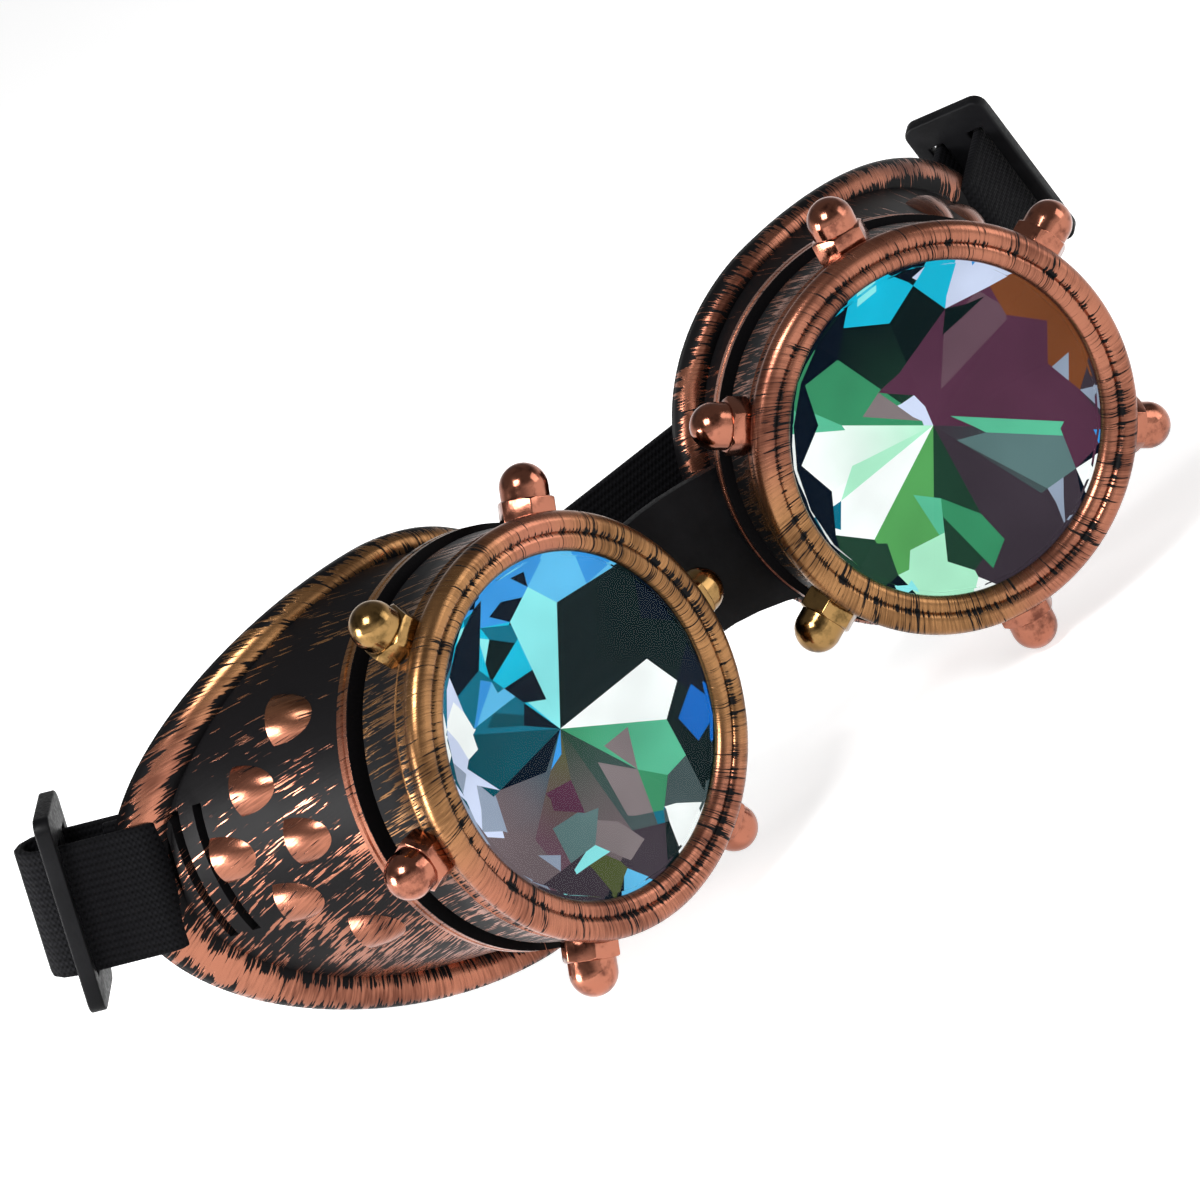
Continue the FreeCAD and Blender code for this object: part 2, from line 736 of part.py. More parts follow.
def bridge_shape():
    """Soft band bowed across the nose gap, wider at its ends, with a bead inside each cup."""
    reach = size("bridge_reach")
    points = []
    widths = []
    for step in range(BRIDGE_STEPS + 1):
        share = 2 * step / BRIDGE_STEPS - 1
        bow = size("bridge_bow") * (1 - share ** 2) ** 2
        points.append(Vector(reach * share, size("bridge_depth") - size("face_depth") + bow, 0))
        drop = size("bridge_end_drop") * share ** 2
        spread = size("bridge_end_spread") * share ** 2
        widths.append((size("bridge_bottom") + drop + spread, size("bridge_top") - drop + spread))
    ribbon = band(points, [Vector(0, 0, 1)] * len(points), widths, size("bridge_thickness"))
    low, high = widths[0]
    feet = [end - Vector(0, 0, low) for end in (points[0], points[-1])]
    beads = [Part.makeCylinder(size("bridge_bead"), low + high, foot) for foot in feet]
    return ribbon.fuse(beads).removeSplitter()


# strap sliders

def rectangle(sketch, width, height, middle):
    """Rectangle about a point of the sketch's y axis, all three given as sheet formulas."""
    corners = [Vector(-1, -1, 0), Vector(1, -1, 0), Vector(1, 1, 0), Vector(-1, 1, 0)]
    first = sketch.GeometryCount
    for index in range(len(corners)):
        sketch.addGeometry(Part.LineSegment(corners[index], corners[(index + 1) % len(corners)]))
    for index in range(len(corners)):
        following = first + (index + 1) % len(corners)
        sketch.addConstraint(Sketcher.Constraint("Coincident", first + index, 2, following, 1))
    sketch.addConstraint(Sketcher.Constraint("Horizontal", first + 2))
    for line in (first + 1, first + 3):
        sketch.addConstraint(Sketcher.Constraint("Vertical", line))
    sketch.addConstraint(Sketcher.Constraint("Symmetric", first, 1, first, 2, -2))
    across = sketch.addConstraint(Sketcher.Constraint("DistanceX", first, 1, first, 2, 2))
    upward = sketch.addConstraint(Sketcher.Constraint("DistanceY", first + 1, 1, first + 1, 2, 2))
    base = sketch.addConstraint(Sketcher.Constraint("DistanceY", -1, 1, first + 1, 2, 1))
    sketch.setExpression(f"Constraints[{across}]", width)
    sketch.setExpression(f"Constraints[{upward}]", height)
    sketch.setExpression(f"Constraints[{base}]", f"{middle} + ({height}) / 2")


def own_plane(body, role):
    """One of the body's own origin planes."""
    return next(plane for plane in body.Origin.OriginFeatures if plane.Role == role)


def strap_slider(name):
    """Flat buckle with two strap slots, standing square across the doubled strap of the left cup."""
    body = doc.addObject("PartDesign::Body", name)
    outline = body.newObject("Sketcher::SketchObject", "slider_outline")
    outline.AttachmentSupport = [(own_plane(body, "XY_Plane"), "")]
    outline.MapMode = "FlatFace"
    plate_width = "Sheet.layer_pitch + Sheet.slot_height + 2 * Sheet.slider_bar"
    rectangle(outline, "Sheet.slider_length", plate_width, "0")
    plate = body.newObject("PartDesign::Pad", "slider_plate")
    plate.Profile = outline
    plate.Midplane = True
    plate.setExpression("Length", "Sheet.slider_height")
    slots = body.newObject("Sketcher::SketchObject", "slider_slots")
    slots.AttachmentSupport = [(own_plane(body, "XY_Plane"), "")]
    slots.MapMode = "FlatFace"
    for sign in (-1, 1):
        rectangle(slots, "Sheet.strap_width + 2 * Sheet.slider_slot_play", "Sheet.slot_height",
                  f"{sign} * Sheet.layer_pitch / 2")
    pocket = body.newObject("PartDesign::Pocket", "slider_pocket")
    pocket.Profile = slots
    pocket.Midplane = True
    pocket.setExpression("Length", "Sheet.slider_height + Sheet.overrun")
    doc.recompute()
    corners = [f"Edge{index}" for index, edge in enumerate(pocket.Shape.Edges, start=1)
               if edge.BoundBox.ZLength > size("slider_height") / 2
               and abs(edge.CenterOfMass.x) > size("strap_width") / 2 + size("slider_bar")]
    rounded = body.newObject("PartDesign::Fillet", "slider_corners")
    rounded.Base = (pocket, corners)
    rounded.setExpression("Radius", "Sheet.slider_corner")
    body.Tip = rounded
    start, run, across, normal = strap_frame()
    centre = start + run * size("slider_out") + normal * ((size("layer_before") + size("layer_last")) / 2)
    body.Placement = cup_place(1).multiply(Placement(centre, Rotation(across, normal, run, "ZXY")))
    return body


def mirrored(name, source):
    """The same piece on the other side of the middle plane."""
    piece = doc.addObject("Part::Mirroring", name)
    piece.Source = source
    piece.Normal = Vector(1, 0, 0)
    return piece


nut = nut_template()
stud = stud_template()
doc.recompute()
left_eyecup = solid_feature("left_eyecup", eyecup_shape())
left_eyecup.Placement = cup_place(1)
left_slider = strap_slider("left_strap_slider")
pieces = [left_eyecup, mirrored("right_eyecup", left_eyecup),
          left_slider, mirrored("right_strap_slider", left_slider),
          solid_feature("nose_bridge", bridge_shape()), solid_feature("head_strap", strap_shape())]
for side_name, side in (("right", -1), ("left", 1)):
    pieces.append(lens_ring(side_name, side))
    pieces.append(nut_group(side_name, side, nut))
    pieces.append(stud_group(side_name, side, stud))
    pieces.append(kaleidoscope_lens(side_name, side))
    pieces.append(lens_seal(side_name, side))
doc.recompute()

for piece in doc.Objects:
    if "Invalid" in piece.State or "Error" in piece.State:
        raise RuntimeError(f"{piece.Label} did not recompute")
os.makedirs("parts", exist_ok=True)
for piece in pieces:
    if piece.Shape.isNull() or not piece.Shape.isValid():
        raise RuntimeError(f"{piece.Label} has no valid shape")
    piece.Shape.exportStep(os.path.join("parts", f"{piece.Label}.step"))
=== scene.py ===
"""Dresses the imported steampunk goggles.

Antiqued copper cups and rings, domed nuts, faceted crystals and a black strap. Metres, in the frame of the
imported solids: X across the face, Y back to the wearer, Z up. The wearer's left cup stands at +X. Each cup
also has its own frame about the lens axis: x across, y up, z forward, zero at the aperture.
"""

import json
import logging
import math
from dataclasses import dataclass
from enum import Enum
from typing import Callable, Iterable, Sequence

import bpy
from mathutils import Matrix, Vector


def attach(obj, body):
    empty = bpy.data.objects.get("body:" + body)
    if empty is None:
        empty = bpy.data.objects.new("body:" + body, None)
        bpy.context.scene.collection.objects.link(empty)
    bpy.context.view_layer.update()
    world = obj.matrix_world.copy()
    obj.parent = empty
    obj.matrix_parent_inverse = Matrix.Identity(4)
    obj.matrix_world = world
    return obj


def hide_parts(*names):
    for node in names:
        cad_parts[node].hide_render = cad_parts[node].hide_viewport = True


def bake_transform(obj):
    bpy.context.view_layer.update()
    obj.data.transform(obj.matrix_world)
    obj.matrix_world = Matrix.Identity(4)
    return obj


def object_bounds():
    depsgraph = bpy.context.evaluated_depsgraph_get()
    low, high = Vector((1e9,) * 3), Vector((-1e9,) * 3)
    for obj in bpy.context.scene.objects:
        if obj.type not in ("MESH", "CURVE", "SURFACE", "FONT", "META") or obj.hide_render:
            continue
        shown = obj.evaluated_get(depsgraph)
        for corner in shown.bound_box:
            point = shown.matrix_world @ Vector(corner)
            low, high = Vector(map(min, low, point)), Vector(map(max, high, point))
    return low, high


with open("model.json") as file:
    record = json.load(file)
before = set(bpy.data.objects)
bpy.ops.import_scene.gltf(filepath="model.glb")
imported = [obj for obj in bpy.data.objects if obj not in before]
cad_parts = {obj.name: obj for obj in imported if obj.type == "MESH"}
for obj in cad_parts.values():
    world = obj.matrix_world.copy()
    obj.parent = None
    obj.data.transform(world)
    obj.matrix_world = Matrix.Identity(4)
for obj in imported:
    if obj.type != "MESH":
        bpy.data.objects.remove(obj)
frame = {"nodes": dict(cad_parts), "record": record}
CAD_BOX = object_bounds()

LOG = logging.getLogger("goggles")
MM = 0.001
FULL_TURN = 2 * math.pi
FACETS = 12
MERGE = 1e-6
FLAT_ANGLE = 0.5
Piece = bpy.types.Object
Material = bpy.types.Material
Node = bpy.types.Node
NodeTree = bpy.types.NodeTree
Socket = bpy.types.NodeSocket
Pair = tuple[float, float]
Triple = tuple[float, float, float]
Colour = tuple[float, float, float, float]


class Side(Enum):
    """The two cups, by the sign of X."""

    RIGHT = -1
    LEFT = 1

    @property
    def word(self) -> str:
        """Name of the side as the nodes spell it."""
        return self.name.lower()


@dataclass(frozen=True)
class CupFrame:
    """Where a cup's own frame stands.

    Sizes are in millimetres and degrees.
    """

    half_spacing: float = 33.85
    face_depth: float = 37.6
    toe_angle: float = 12.5

    def place(self, side: Side) -> Matrix:
        """Matrix from a cup's own frame to the object's.

        Args:
            side: which cup.
        Returns:
            The placement, in metres.
        """
        spot = Vector((side.value * self.half_spacing, -self.face_depth, 0)) * MM
        turn = Matrix.Rotation(math.radians(-side.value * self.toe_angle), 4, "Z")
        return Matrix.Translation(spot) @ turn @ Matrix.Rotation(math.radians(90), 4, "X")


CUPS = CupFrame()


class Bench:
    """Modelling steps that every piece uses."""

    @staticmethod
    def clear() -> None:
        """Leaves edit mode and deselects everything."""
        if bpy.context.object and bpy.context.object.mode != "OBJECT":
            bpy.ops.object.mode_set(mode="OBJECT")
        bpy.ops.object.select_all(action="DESELECT")

    @staticmethod
    def pick(piece: Piece) -> None:
        """Makes a piece the only selected and active object.

        Args:
            piece: the object.
        """
        Bench.clear()
        piece.select_set(True)
        bpy.context.view_layer.objects.active = piece

    @staticmethod
    def edit(piece: Piece) -> None:
        """Opens a piece in edit mode with its whole mesh selected.

        Args:
            piece: the object.
        """
        Bench.pick(piece)
        bpy.ops.object.mode_set(mode="EDIT")
        bpy.ops.mesh.select_all(action="SELECT")

    @staticmethod
    def done() -> None:
        """Returns to object mode."""
        bpy.ops.object.mode_set(mode="OBJECT")

    @staticmethod
    def named(name: str) -> Piece:
        """Names the object that the last operator added, and its mesh.

        Args:
            name: the piece's name.
        Returns:
            The object.
        """
        piece = bpy.context.object
        piece.name = name
        piece.data.name = name
        return piece

    @staticmethod
    def close(piece: Piece) -> None:
        """Merges doubles and turns all faces outwards.

        Args:
            piece: the object.
        """
        Bench.edit(piece)
        bpy.ops.mesh.remove_doubles(threshold=MERGE)
        bpy.ops.mesh.normals_make_consistent(inside=False)
        Bench.done()

    @staticmethod
    def smooth(piece: Piece, angle: float) -> None:
        """Shades a piece smooth up to an angle in degrees."""
        Bench.pick(piece)
        bpy.ops.object.shade_smooth_by_angle(angle=math.radians(angle))

    @staticmethod
    def apply(piece: Piece, kind: str, **settings: object) -> None:
        """Adds one modifier with its settings and applies it.

        Args:
            piece: the object.
            kind: the modifier's type.
            settings: its properties.
        """
        Bench.pick(piece)
        modifier = piece.modifiers.new(kind.lower(), kind)
        for key, value in settings.items():
            setattr(modifier, key, value)
        bpy.ops.object.modifier_apply(modifier=modifier.name)

    @staticmethod
    def join(name: str, parts: Sequence[Piece]) -> Piece:
        """Joins parts into one named object.

        Args:
            name: the joined piece's name.
            parts: the objects, of which the first one stays.
        Returns:
            The joined object.
        """
        Bench.clear()
        for part in parts:
            part.select_set(True)
        bpy.context.view_layer.objects.active = parts[0]
        bpy.ops.object.join()
        return Bench.named(name)

    @staticmethod
    def twin(piece: Piece, name: str, place: Matrix) -> Piece:
        """Copy with a mesh of its own, set at a place.

        Args:
            piece: the object to copy.
            name: the copy's name.
            place: matrix that moves the copy's mesh.
        Returns:
            The copy.
        """
        copy = piece.copy()
        copy.data = piece.data.copy()
        bpy.context.scene.collection.objects.link(copy)
        copy.name = name
        copy.data.name = name
        copy.data.transform(place)
        if place.determinant() < 0:
            copy.data.flip_normals()
        return copy

    @staticmethod
    def from_node(node: str, name: str) -> Piece:
        """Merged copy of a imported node's mesh.

        Args:
            node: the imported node.
            name: the copy's name.
        Returns:
            A new object at the origin.
        """
        mesh = frame["nodes"][node].data.copy()
        piece = bpy.data.objects.new(name, mesh)
        bpy.context.scene.collection.objects.link(piece)
        mesh.name = name
        mesh.materials.clear()
        Bench.pick(piece)
        bpy.ops.mesh.customdata_custom_splitnormals_clear()
        Bench.edit(piece)
        bpy.ops.mesh.remove_doubles(threshold=MERGE)
        bpy.ops.mesh.dissolve_limited(angle_limit=math.radians(FLAT_ANGLE))
        Bench.done()
        return piece

    @staticmethod
    def looped(name: str, around: int, section: Sequence[Pair],
               spot: Callable[[float, float, float], Vector]) -> Piece:
        """Closed loop with a closed section, shaped from a torus.

        Args:
            name: the piece's name.
            around: steps round the loop.
            section: the section's pairs, in millimetres.
            spot: gives the point for a turn in radians and one pair of the section.
        Returns:
            The shaped loop.
        """
        Bench.clear()
        bpy.ops.mesh.primitive_torus_add(major_segments=around, minor_segments=len(section))
        piece = Bench.named(name)
        for index, vertex in enumerate(piece.data.vertices):
            turn = FULL_TURN * (index // len(section)) / around
            vertex.co = spot(turn, *section[index % len(section)])
        Bench.close(piece)
        return piece

    @staticmethod
    def dress(node: str, material: Material) -> None:
        """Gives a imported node, which stays as it is, its material.

        Args:
            node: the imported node.
            material: its material.
        """
        mesh = frame["nodes"][node].data
        mesh.materials.clear()
        mesh.materials.append(material)

    @staticmethod
    def finish(piece: Piece, material: Material, body: str, slot: str, *nodes: str) -> Piece:
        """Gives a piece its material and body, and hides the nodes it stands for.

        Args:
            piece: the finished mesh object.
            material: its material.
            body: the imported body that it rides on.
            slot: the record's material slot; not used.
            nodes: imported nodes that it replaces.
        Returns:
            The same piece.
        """
        piece.data.materials.clear()
        piece.data.materials.append(material)
        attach(piece, body)
        if nodes:
            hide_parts(*nodes)
        LOG.info("%s rides on %s, %d faces", piece.name, body, len(piece.data.polygons))
        return piece


class Graph:
    """Adds and links the nodes of one shader tree."""

    def __init__(self, tree: NodeTree) -> None:
        """Starts on a tree."""
        self.tree = tree

    def add(self, kind: str, **settings: object) -> Node:
        """Adds a node and sets its properties.

        Args:
            kind: the node's type name.
            settings: properties of the node.
        Returns:
            The node.
        """
        node = self.tree.nodes.new(kind)
        for key, value in settings.items():
            setattr(node, key, value)
        return node

    def feed(self, socket: Socket, value: object) -> None:
        """Links a socket, or sets a plain value on it.

        Args:
            socket: the input.
            value: a socket or a plain value.
        """
        if isinstance(value, Socket):
            self.tree.links.new(value, socket)
        else:
            socket.default_value = value

    def fill(self, node: Node, values: dict[str, object]) -> None:
        """Links or sets several inputs of a node by their names."""
        for name, value in values.items():
            self.feed(node.inputs[name], value)

    def math(self, operation: str, *values: object, clamp: bool = False) -> Socket:
        """One Math node.

        Args:
            operation: the node's operation.
            values: sockets or numbers for its inputs.
            clamp: whether the result stays between 0 and 1.
        Returns:
            Its value.
        """
        node = self.add("ShaderNodeMath", operation=operation, use_clamp=clamp)
        for socket, value in zip(node.inputs, values):
            self.feed(socket, value)
        return node.outputs[0]

    def vector(self, operation: str, *values: object) -> Node:
        """One Vector Math node.

        Args:
            operation: the node's operation.
            values: sockets or vectors for its inputs.
        Returns:
            The node.
        """
        node = self.add("ShaderNodeVectorMath", operation=operation)
        for socket, value in zip(node.inputs, values):
            self.feed(socket, value)
        return node

    def scale(self, vector: Socket, factor: object) -> Socket:
        """Vector times a factor.

        Args:
            vector: the vector.
            factor: a socket or number.
        Returns:
            The scaled vector.
        """
        node = self.vector("SCALE", vector)
        self.feed(node.inputs["Scale"], factor)
        return node.outputs[0]

    def split(self, vector: Socket) -> Sequence[Socket]:
        """Three parts of a vector.

        Args:
            vector: the vector.
        Returns:
            Its x, y and z.
        """
        node = self.add("ShaderNodeSeparateXYZ")
        self.feed(node.inputs[0], vector)
        return node.outputs

    def combine(self, x: object, y: object, z: object) -> Socket:
        """Vector from three values.

        Args:
            x: socket or number.
            y: socket or number.
            z: socket or number.
        Returns:
            The vector.
        """
        node = self.add("ShaderNodeCombineXYZ")
        for socket, value in zip(node.inputs, (x, y, z)):
            self.feed(socket, value)
        return node.outputs[0]

    def ramp(self, value: object, low: float, high: float, start: float = 0, stop: float = 1) -> Socket:
        """Smooth step from one value to another.

        Args:
            value: the socket to map.
            low: where the step starts.
            high: where the step ends.
            start: result below the step.
            stop: result above the step.
        Returns:
            The mapped value.
        """
        node = self.add("ShaderNodeMapRange", interpolation_type="SMOOTHSTEP")
        for socket, item in zip(node.inputs, (value, low, high, start, stop)):
            self.feed(socket, item)
        return node.outputs[0]

    def noise(self, vector: Socket, scale: float, detail: float = 2, roughness: float = 0.5) -> Socket:
        """Noise value over a vector.

        Args:
            vector: the coordinates.
            scale: features per unit.
            detail: octaves.
            roughness: weight of the finer octaves.
        Returns:
            The noise value.
        """
        node = self.add("ShaderNodeTexNoise")
        self.fill(node, {"Vector": vector, "Scale": scale, "Detail": detail, "Roughness": roughness})
        return node.outputs[0]

    def mix(self, factor: object, first: object, second: object, kind: str = "RGBA") -> Socket:
        """Mix of two colours or values.

        Args:
            factor: share of the second one.
            first: colour or value at 0.
            second: colour or value at 1.
            kind: RGBA or FLOAT.
        Returns:
            The mixed result.
        """
        node = self.add("ShaderNodeMix", data_type=kind)
        first_slot, second_slot, out = {"RGBA": (6, 7, 2), "FLOAT": (2, 3, 0)}[kind]
        self.feed(node.inputs[0], factor)
        self.feed(node.inputs[first_slot], first)
        self.feed(node.inputs[second_slot], second)
        return node.outputs[out]

    def bump(self, height: Socket, distance: float, strength: float) -> Socket:
        """Normal bent by a height.

        Args:
            height: the height value.
            distance: height in metres for a value of 1.
            strength: share of the effect.
        Returns:
            The normal.
        """
        node = self.add("ShaderNodeBump")
        self.fill(node, {"Strength": strength, "Distance": distance, "Height": height})
        return node.outputs["Normal"]


class Groups:
    """Shader node groups that several materials share."""

    STROKE_RADIUS = 27.0
    STROKE_TRAVEL = 0.055
    STROKE_SLANT = -0.24
    STROKE_EDGE = 0.014
    FINE_SCALE = 3.9
    FINE_WEIGHT = 0.52
    BROAD_SCALE = 1.0
    BROAD_WEIGHT = 0.26
    PATCH_SCALE = 95.0
    PATCH_WEIGHT = 0.22
    BARE_LEVEL = 0.71
    COVER_SLOPE = -0.42
    TONE_PATCHES = 0.6
    _made: dict[str, NodeTree] = {}

    @classmethod
    def _start(cls, name: str, inputs: Iterable[tuple[str, str]], outputs: Iterable[tuple[str, str]]
               ) -> tuple[Graph, Node, Node]:
        """New group with named sockets.

        Args:
            name: the group's name.
            inputs: names and kinds of its inputs.
            outputs: names and kinds of its outputs.
        Returns:
            The graph, its input node and its output node.
        """
        tree = bpy.data.node_groups.new(name, "ShaderNodeTree")
        for label, kind in inputs:
            tree.interface.new_socket(label, in_out="INPUT", socket_type=f"NodeSocket{kind}")
        for label, kind in outputs:
            tree.interface.new_socket(label, in_out="OUTPUT", socket_type=f"NodeSocket{kind}")
        graph = Graph(tree)
        cls._made[name] = tree
        return graph, graph.add("NodeGroupInput"), graph.add("NodeGroupOutput")

    @classmethod
    def lens_space(cls) -> NodeTree:
        """Coordinates about a lens axis in millimetres, and the stretched space of the brush strokes.

        Returns:
            The group, with outputs Radius, Depth, Heading, Lower and Strokes.
        """
        if "lens_space" in cls._made:
            return cls._made["lens_space"]
        graph, start, end = cls._start("lens_space", [("Vector", "Vector")],
                                       [("Radius", "Float"), ("Depth", "Float"), ("Heading", "Vector"),
                                        ("Lower", "Float"), ("Strokes", "Vector")])
        across, up, ahead = graph.split(graph.scale(start.outputs["Vector"], 1 / MM))
        level = graph.combine(across, up, 0.0)
        radius = graph.vector("LENGTH", level).outputs["Value"]
        heading = graph.vector("NORMALIZE", level).outputs[0]
        run = graph.math("SUBTRACT", radius, ahead)
        slanted = graph.add("ShaderNodeVectorRotate", rotation_type="Z_AXIS")
        graph.fill(slanted, {"Vector": graph.scale(heading, cls.STROKE_RADIUS),
                             "Angle": graph.math("MULTIPLY", run, cls.STROKE_SLANT / cls.STROKE_RADIUS)})
        travel = graph.combine(0.0, 0.0, graph.math("MULTIPLY", run, cls.STROKE_TRAVEL))
        strokes = graph.vector("ADD", slanted.outputs[0], travel).outputs[0]
        lower = graph.vector("DOT_PRODUCT", heading, (0, -1, 0)).outputs["Value"]
        graph.fill(end, {"Radius": radius, "Depth": graph.math("MULTIPLY", ahead, -1.0), "Heading": heading,
                         "Lower": lower, "Strokes": strokes})
        return cls._made["lens_space"]

    @classmethod
    def dry_brush(cls) -> NodeTree:
        """Copper dragged over black in fine short strokes.

        Returns:
            The group, with inputs Strokes, Vector and Cover and outputs Metal and Tone.
        """
        if "dry_brush" in cls._made:
            return cls._made["dry_brush"]
        graph, start, end = cls._start("dry_brush",
                                       [("Strokes", "Vector"), ("Vector", "Vector"), ("Cover", "Float")],
                                       [("Metal", "Float"), ("Tone", "Float")])
        strokes = start.outputs["Strokes"]
        fine = graph.noise(strokes, cls.FINE_SCALE)
        broad = graph.noise(strokes, cls.BROAD_SCALE, 1)
        patches = graph.noise(start.outputs["Vector"], cls.PATCH_SCALE)
        grain = graph.math("MULTIPLY", fine, cls.FINE_WEIGHT)
        grain = graph.math("MULTIPLY_ADD", broad, cls.BROAD_WEIGHT, grain)
        grain = graph.math("MULTIPLY_ADD", patches, cls.PATCH_WEIGHT, grain)
        level = graph.math("MULTIPLY_ADD", start.outputs["Cover"], cls.COVER_SLOPE, cls.BARE_LEVEL)
        tone = graph.math("MULTIPLY", fine, 1 - cls.TONE_PATCHES)
        graph.fill(end, {
            "Metal": graph.ramp(graph.math("SUBTRACT", grain, level), -cls.STROKE_EDGE, cls.STROKE_EDGE),
            "Tone": graph.math("MULTIPLY_ADD", patches, cls.TONE_PATCHES, tone)})
        return cls._made["dry_brush"]


@dataclass(frozen=True)
class Finish:
    """Base of every finish: a named material with one Principled shader."""

    name: str

    def start(self) -> tuple[Material, Graph, Node, Socket]:
        """New material.

        Returns:
            The material, its graph, its shader and the object coordinates.
        """
        material = bpy.data.materials.new(self.name)
        material.use_nodes = True
        material.node_tree.nodes.clear()
        graph = Graph(material.node_tree)
        shader = graph.add("ShaderNodeBsdfPrincipled")
        out = graph.add("ShaderNodeOutputMaterial")
        graph.feed(out.inputs["Surface"], shader.outputs[0])
        spots = graph.add("ShaderNodeTexCoord").outputs["Object"]
        return material, graph, shader, spots

    @staticmethod
    def about_lens(graph: Graph, spots: Socket, side: Side) -> Node:
        """Coordinates about a cup's lens axis.

        Args:
            graph: the material's graph.
            spots: the object coordinates.
            side: which cup.
        Returns:
            The group node with the coordinates.
        """
        place = CUPS.place(side)
        turned = graph.add("ShaderNodeMapping", vector_type="TEXTURE")
        graph.fill(turned, {"Location": place.to_translation(), "Rotation": place.to_euler(),
                            "Vector": spots})
        space = graph.add("ShaderNodeGroup", node_tree=Groups.lens_space())
        graph.feed(space.inputs["Vector"], turned.outputs[0])
        return space

    @staticmethod
    def sectors(graph: Graph, space: Node, headings: Sequence[float], spread: float) -> object:
        """Mask of the sectors round the lens axis that point along some headings.

        Args:
            graph: the material's graph.
            space: the node that gives the coordinates about the lens axis.
            headings: angles of the sectors' middles, in degrees.
            spread: half of a sector's angle, in degrees.
        Returns:
            The mask, or 0 where there are no headings.
        """
        mask: object = 0.0
        for heading in headings:
            way = (math.cos(math.radians(heading)), math.sin(math.radians(heading)), 0)
            facing = graph.vector("DOT_PRODUCT", space.outputs["Heading"], way).outputs["Value"]
            sector = graph.ramp(facing, math.cos(math.radians(spread)), math.cos(math.radians(spread / 2)))
            mask = graph.math("MAXIMUM", mask, sector)
        return mask


@dataclass(frozen=True)
class AntiquedCopper(Finish):
    """Copper brushed over black, about one cup's lens axis, with gold in some sectors.

    covers gives steps of the copper's share as (measure, low, high, start, stop), and gilded the headings of
    the gold sectors.
    """

    side: Side = Side.LEFT
    base_cover: float = 0.5
    covers: tuple[tuple[str, float, float, float, float], ...] = ()
    gold_headings: tuple[float, ...] = ()
    gold_spread: float = 62.0
    copper_deep: Colour = (0.11, 0.039, 0.025, 1)
    copper_light: Colour = (0.335, 0.13, 0.08, 1)
    gold_deep: Colour = (0.09, 0.043, 0.018, 1)
    gold_light: Colour = (0.31, 0.155, 0.064, 1)
    black: Colour = (0.0045, 0.0042, 0.0046, 1)
    shine: float = 0.24
    dull_gain: float = 0.12
    black_rough: float = 0.42
    metallic: float = 0.92
    specular: float = 0.05
    tone_range: Pair = (0.34, 0.62)
    stroke_share: float = 0.5
    relief: float = 0.00008
    relief_strength: float = 0.5

    @staticmethod
    def painted(graph: Graph, name: str) -> Socket:
        """Value that the piece's own mesh holds under a name."""
        return graph.add("ShaderNodeAttribute", attribute_name=name).outputs["Fac"]

    def make(self) -> Material:
        """Builds the material.

        Returns:
            The material.
        """
        material, graph, shader, spots = self.start()
        space = self.about_lens(graph, spots, self.side)
        cover: object = self.base_cover
        for measure, low, high, start, stop in self.covers:
            level = space.outputs[measure] if measure in space.outputs else self.painted(graph, measure)
            cover = graph.math("ADD", cover, graph.ramp(level, low, high, start, stop))
        brush = graph.add("ShaderNodeGroup", node_tree=Groups.dry_brush())
        graph.fill(brush, {"Strokes": space.outputs["Strokes"], "Vector": spots, "Cover": cover})
        metal, fleck = brush.outputs["Metal"], brush.outputs["Tone"]
        light = graph.ramp(fleck, *self.tone_range)
        copper = graph.mix(light, self.copper_deep, self.copper_light)
        gold = graph.mix(light, self.gold_deep, self.gold_light)
        # The copper turns to gold in sectors round the lens axis.
        tone = graph.mix(self.sectors(graph, space, self.gold_headings, self.gold_spread), copper, gold)
        rough = graph.ramp(fleck, *self.tone_range, self.shine + self.dull_gain, self.shine)
        height = graph.math("MULTIPLY_ADD", metal, self.stroke_share, fleck)
        graph.fill(shader, {"Base Color": graph.mix(metal, self.black, tone),
                            "Metallic": graph.math("MULTIPLY", metal, self.metallic),
                            "Roughness": graph.mix(metal, self.black_rough, rough, "FLOAT"),
                            "Specular IOR Level": self.specular,
                            "Normal": graph.bump(height, self.relief, self.relief_strength)})
        return material


@dataclass(frozen=True)
class PolishedNut(Finish):
    """Polished copper, or brass in some sectors, with fine tarnish."""

    side: Side = Side.LEFT
    brass_headings: tuple[float, ...] = ()
    brass_spread: float = 40.0
    copper: Colour = (0.36, 0.135, 0.085, 1)
    copper_dull: Colour = (0.13, 0.045, 0.03, 1)
    brass: Colour = (0.29, 0.17, 0.062, 1)
    brass_dull: Colour = (0.10, 0.06, 0.021, 1)
    tarnish_scale: float = 420.0
    tarnish_range: Pair = (0.46, 0.7)
    polish_scale: float = 600.0
    polish_range: Pair = (0.3, 0.75)
    rough_range: Pair = (0.1, 0.24)
    dent_scale: float = 1400.0
    dent_height: float = 0.00004
    dent_strength: float = 0.4

    def make(self) -> Material:
        """Builds the material.

        Returns:
            The material.
        """
        material, graph, shader, spots = self.start()
        space = self.about_lens(graph, spots, self.side)
        tarnish = graph.noise(spots, self.tarnish_scale, detail=4, roughness=0.6)
        dull = graph.ramp(tarnish, *self.tarnish_range)
        copper = graph.mix(dull, self.copper, self.copper_dull)
        brass = graph.mix(dull, self.brass, self.brass_dull)
        tone = graph.mix(self.sectors(graph, space, self.brass_headings, self.brass_spread), copper, brass)
        polish = graph.noise(spots, self.polish_scale, detail=3)
        dents = graph.noise(spots, self.dent_scale, detail=3)
        graph.fill(shader, {"Base Color": tone, "Metallic": 1.0,
                            "Roughness": graph.ramp(polish, *self.polish_range, *self.rough_range),
                            "Normal": graph.bump(dents, self.dent_height, self.dent_strength)})
        return material


